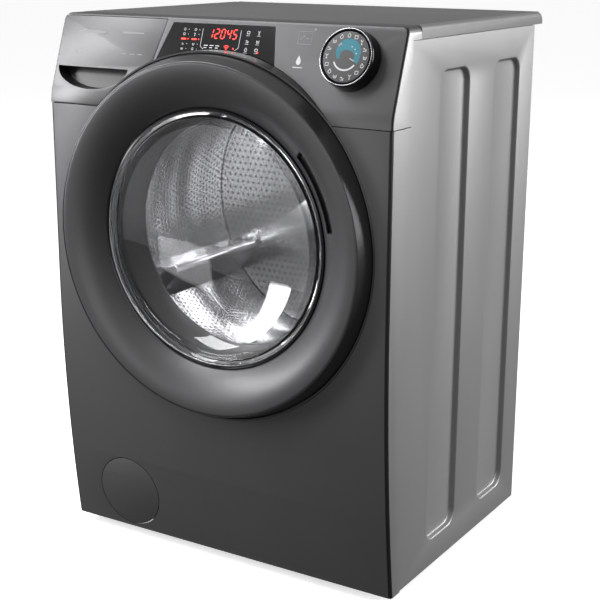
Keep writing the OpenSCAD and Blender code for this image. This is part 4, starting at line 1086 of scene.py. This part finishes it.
def printOn(name, shapes, place, finish, slot="display_glass"):
    marks = [flatShape("mark", shape) for shape in shapes]
    piece = joinAll(marks, name)
    piece.data.transform(place)
    return settle(piece, "cabinet", slot, finish)


def smallMark(kind, x, y, size, turn=0.0):
    # generic little signs: a drop, a box, a fork, a wave and a cup
    shapes = {
        0: [arcBand(0, -0.1, 0.42, 0.16, 130, 410, 12), bar(-0.27, 0.22, 0, 0.62, 0.15),
            bar(0.27, 0.22, 0, 0.62, 0.15)],
        1: [bar(-0.5, -0.4, 0.5, -0.4, 0.15), bar(-0.5, 0.4, 0.5, 0.4, 0.15),
            bar(-0.45, -0.4, -0.45, 0.4, 0.15),
            bar(0.45, -0.4, 0.45, 0.4, 0.15)],
        2: [bar(0, -0.6, 0, 0.2, 0.16), bar(-0.4, 0.55, 0, 0.1, 0.16), bar(0.4, 0.55, 0, 0.1, 0.16),
            dot(0, -0.55, 0.2, 8)],
        3: [arcBand(-0.25, 0, 0.25, 0.15, 0, 180, 8), arcBand(0.25, 0, 0.25, 0.15, 180, 360, 8),
            bar(-0.5, -0.5, 0.5, -0.5, 0.13)],
        4: [bar(-0.5, 0.35, -0.35, -0.45, 0.15), bar(0.5, 0.35, 0.35, -0.45, 0.15),
            bar(-0.38, -0.45, 0.38, -0.45, 0.15),
            dot(0, 0.0, 0.18, 8)],
    }[kind % 5]
    c, s = math.cos(turn), math.sin(turn)
    return [[(x + size * (px * c - py * s), y + size * (px * s + py * c)) for px, py in shape]
            for shape in shapes]


def makeDialMarks():
    faceR = knob["radius"] - 0.0055
    top = onSlope(knob["x"], knob["z"], knob["height"] - 0.00075)
    signs = []
    for i in range(16):
        a = math.radians(90 - 360 * i / 16)
        signs += smallMark(i, faceR * 0.83 * math.cos(a), faceR * 0.83 * math.sin(a), 0.0052)
    signs += [arcBand(0, 0, faceR * 0.52, 0.0022, 205, 325), arcBand(0, 0, faceR * 0.56, 0.0026, 118, 134, 6)]
    printOn("dialSigns", signs, top, finishes["whitePrint"], "dial_face")
    # the wide swoosh: thick at the middle of the dial, round over the top and thin at its right end
    swoosh = []
    inner = []
    for i in range(29):
        share = i / 28
        a = math.radians(200 - 235 * share)
        middle = faceR * (0.30 + 0.08 * share)
        width = faceR * (0.16 + 0.20 * math.sin(math.pi * min(1, share * 1.15)) * (1 - 0.45 * share))
        swoosh.append(((middle + width) * math.cos(a) + 0.003, (middle + width) * math.sin(a) + 0.002))
        inner.append(((middle - width * 0.55) * math.cos(a) + 0.003,
                      (middle - width * 0.55) * math.sin(a) + 0.002))
    printOn("dialSwoosh", [swoosh + list(reversed(inner))], top, finishes["tealPrint"], "dial_face")
    dots = [dot(0.003 + faceR * 0.36 * math.cos(math.radians(a)),
                0.002 + faceR * 0.36 * math.sin(math.radians(a)), 0.0009, 10)
            for a in (70, 42, 14)]
    dots.append(bar(0.0065, -0.002, 0.0135, -0.0055, 0.0009))
    printOn("dialDots", dots, onSlope(knob["x"], knob["z"], knob["height"] - 0.0006),
            finishes["whitePrint"], "dial_face")


makeDialMarks()
print("knob and dial")


def segmentDigit(value, x, y, w, h, thick):
    lit = {"0": "abcdef", "1": "bc", "2": "abdeg", "3": "abcdg", "4": "bcfg", "5": "acdfg",
           "8": "abcdefg"}[value]
    lean = 0.12
    ends = {"a": (0, 1, 1, 1), "b": (1, 1, 1, 0.5), "c": (1, 0.5, 1, 0), "d": (0, 0, 1, 0),
            "e": (0, 0.5, 0, 0),
            "f": (0, 1, 0, 0.5), "g": (0, 0.5, 1, 0.5)}
    shapes = []
    for key in lit:
        ax, ay, bx, by = ends[key]
        x0, y0, x1, y1 = x + ax * w + ay * h * lean, y + ay * h, x + bx * w + by * h * lean, y + by * h
        shrink = thick * 0.6
        length = math.hypot(x1 - x0, y1 - y0)
        dx, dy = (x1 - x0) / length * shrink, (y1 - y0) / length * shrink
        shapes.append(bar(x0 + dx, y0 + dy, x1 - dx, y1 - dy, thick))
    return shapes


def makeDisplayMarks():
    # the middle of the glass is the zero of this layout: X across, Y up the slope
    middle = onSlope(0, display["top"] - 0.022, 0.00005)
    digits = []
    for i, value in enumerate(("1", "2", "0", "4", "5")):
        digits += segmentDigit(value, -0.0225 + i * 0.0105, 0.0025, 0.0062, 0.0135, 0.0015)
    printOn("displayDigits", digits, middle, finishes["redGlow"])
    lamps, signs = [], []
    for row in range(5):
        for column in range(2):
            x, y = -0.066 + column * 0.019, 0.014 - row * 0.0072
            if row == 2:
                lamps += [bar(x - 0.0045, y, x + 0.0045, y, 0.0022), dot(x + 0.008, y, 0.001, 8)]
            else:
                signs += smallMark(row + column, x, y, 0.0034)
                signs += [dot(x + 0.0072, y, 0.0006, 6)]
    for row in range(3):
        for column in range(2):
            signs += smallMark(row * 2 + column + 1, 0.046 + column * 0.018, 0.013 - row * 0.0125, 0.0046)
            signs.append(bar(0.043 + column * 0.018, 0.0085 - row * 0.0125, 0.049 + column * 0.018,
                             0.0085 - row * 0.0125, 0.0005))
    for x, flip in ((-0.034, 1), (0.033, -1)):
        signs += [bar(x, 0.016, x, -0.010, 0.0006), bar(x, -0.010, x + 0.006 * flip, -0.0145, 0.0006)]
    for x in (-0.024, -0.014, -0.004):
        signs += [bar(x - 0.0035, -0.0085, x + 0.0035, -0.0085, 0.0011),
                  bar(x - 0.0035, -0.0118, x + 0.0015, -0.0118, 0.0011)]
    lamps += [arcBand(0.012, -0.013, 0.0030, 0.0010, 40, 140, 8),
              arcBand(0.012, -0.013, 0.0055, 0.0011, 40, 140, 8),
              dot(0.012, -0.0125, 0.0011, 8), dot(0.024, -0.0115, 0.0014, 10),
              dot(0.067, -0.0155, 0.0013, 10)]
    printOn("displayLamps", lamps, middle, finishes["redGlow"])
    printOn("displaySigns", signs, middle, finishes["whiteGlow"])
    # two quiet prints between the glass and the knob
    wash = onSlope(0.141, 0.829, 0.00005)
    frameMark = [bar(-0.011, -0.009, 0.011, -0.009, 0.0007), bar(-0.011, 0.009, 0.011, 0.009, 0.0007),
                 bar(-0.011, -0.009, -0.011, 0.009, 0.0007), bar(0.011, -0.009, 0.011, 0.009, 0.0007),
                 bar(-0.007, -0.003, -0.002, 0.003, 0.0008), bar(-0.002, 0.003, 0.002, -0.001, 0.0008),
                 bar(0.002, -0.001, 0.007, -0.001, 0.0008), dot(0.0145, 0.0125, 0.0018, 12)]
    printOn("consoleFrameMark", frameMark, wash, finishes["greyPrint"], "console")
    dropPlace = onSlope(0.137, 0.799, 0.00005)
    drop = [(0.0052 * math.sin(t) * math.sin(t / 2) ** 1.3, 0.0068 * math.cos(t))
            for t in [2 * math.pi * i / 24 for i in range(24)]]
    printOn("consoleDrop", [drop, bar(-0.008, -0.0105, 0.008, -0.0105, 0.0013)], dropPlace,
            finishes["whitePrint"], "console")
    # dashes on the drawer front stand where a maker would print
    marks = [bar(-0.266, 0.0, -0.212, 0.0, 0.0035), bar(-0.180, 0.001, -0.140, 0.001, 0.0022)]
    dashes = onSlope(0, 0.823, 0.00005)
    small = []
    for x in (-0.276, -0.262, -0.252, -0.176, -0.160, -0.146):
        small += [bar(x, -0.0315, x + 0.009, -0.0315, 0.0012)]
    piece = printOn("drawerMarks", marks + small, dashes, finishes["greyPrint"], "drawer_front")
    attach(piece, "drawer")


makeDisplayMarks()
print("display and prints")


selectNothing()
bpy.ops.mesh.primitive_plane_add(size=90, location=(0, 2.0, -0.0005))
floor = bpy.context.object
floor.name = "studioFloor"
floorFinish = bpy.data.materials.new("studio floor")
floorFinish.use_nodes = True
floorShader = floorFinish.node_tree.nodes["Principled BSDF"]
floorShader.inputs["Base Color"].default_value = (0.9, 0.9, 0.9, 1)
floorShader.inputs["Roughness"].default_value = 0.9
floorShader.inputs["Emission Color"].default_value = (1, 1, 1, 1)
floorShader.inputs["Emission Strength"].default_value = 0.62
floor.data.materials.append(floorFinish)
floor.visible_glossy = False
floor.visible_diffuse = False


def makeStudio():
    # the room itself is dim below and brighter above, and the lamps do the rest
    world = bpy.data.worlds.new("studio")
    bpy.context.scene.world = world
    world.use_nodes = True
    nodes, links = world.node_tree.nodes, world.node_tree.links
    where = nodes.new("ShaderNodeTexCoord")
    parts = nodes.new("ShaderNodeSeparateXYZ")
    links.new(where.outputs["Generated"], parts.inputs["Vector"])
    high = nodes.new("ShaderNodeMapRange")
    high.inputs["From Min"].default_value = studio["lowAt"]
    high.inputs["From Max"].default_value = studio["highAt"]
    high.inputs["To Min"].default_value = studio["lowLevel"]
    high.inputs["To Max"].default_value = studio["highLevel"]
    links.new(parts.outputs["Z"], high.inputs["Value"])
    links.new(high.outputs["Result"], nodes["Background"].inputs["Strength"])
    nodes["Background"].inputs["Color"].default_value = (1, 1, 1, 1)
    for name, lamp in studioLights.items():
        data = bpy.data.lights.new(name, "AREA")
        data.shape = "RECTANGLE"
        data.size, data.size_y = lamp["size"]
        data.energy = lamp["power"]
        light = bpy.data.objects.new(name, data)
        bpy.context.collection.objects.link(light)
        light.location = lamp["at"]
        light.rotation_euler = (Vector(lamp["to"]) - Vector(lamp["at"])).to_track_quat("-Z", "Y").to_euler()


studio = {"lowAt": -0.5, "highAt": 0.8, "lowLevel": 0.10, "highLevel": 0.42}
studioLights = {
    "drumTop": {"at": (0.02, -0.128, 0.725), "to": (0.0, 0.06, 0.45), "size": (0.22, 0.04), "power": 0.8},
    "drumLeft": {"at": (-0.165, -0.125, 0.60), "to": (0.12, 0.1, 0.5), "size": (0.03, 0.12), "power": 0.7},
    "backRight": {"at": (2.9, 2.1, 1.5), "to": (0.2, 0.1, 0.5), "size": (2.6, 2.2), "power": 120},
    "topLeft": {"at": (-1.3, -1.4, 2.5), "to": (0, -0.2, 0.5), "size": (1.2, 1.0), "power": 34},
    "frontLeft": {"at": (-2.1, -1.65, 1.15), "to": (-0.2, -0.2, 0.7), "size": (0.7, 1.5), "power": 52},
    "frontRight": {"at": (-0.6, -3.4, 0.5), "to": (0.1, -0.2, 0.4), "size": (1.6, 0.8), "power": 9},
}
makeStudio()

view = {"at": (1.124, -1.8122, 0.9617), "yaw": 31.68, "pitch": 15.16, "roll": 0.28, "lens": 80, "sensor": 36}
cameraData = bpy.data.cameras.new("camera")
cameraData.lens = view["lens"]
cameraData.sensor_width = view["sensor"]
camera = bpy.data.objects.new("camera", cameraData)
bpy.context.collection.objects.link(camera)
camera.location = view["at"]
yaw, pitch, roll = [math.radians(view[key]) for key in ("yaw", "pitch", "roll")]
turn = Matrix.Rotation(yaw, 3, "Z") @ Matrix.Rotation(math.pi / 2 - pitch, 3, "X")
turn = turn @ Matrix.Rotation(roll, 3, "Z")
camera.rotation_euler = turn.to_euler()
bpy.context.scene.camera = camera
bpy.context.scene.view_settings.view_transform = "Standard"
print("studio")
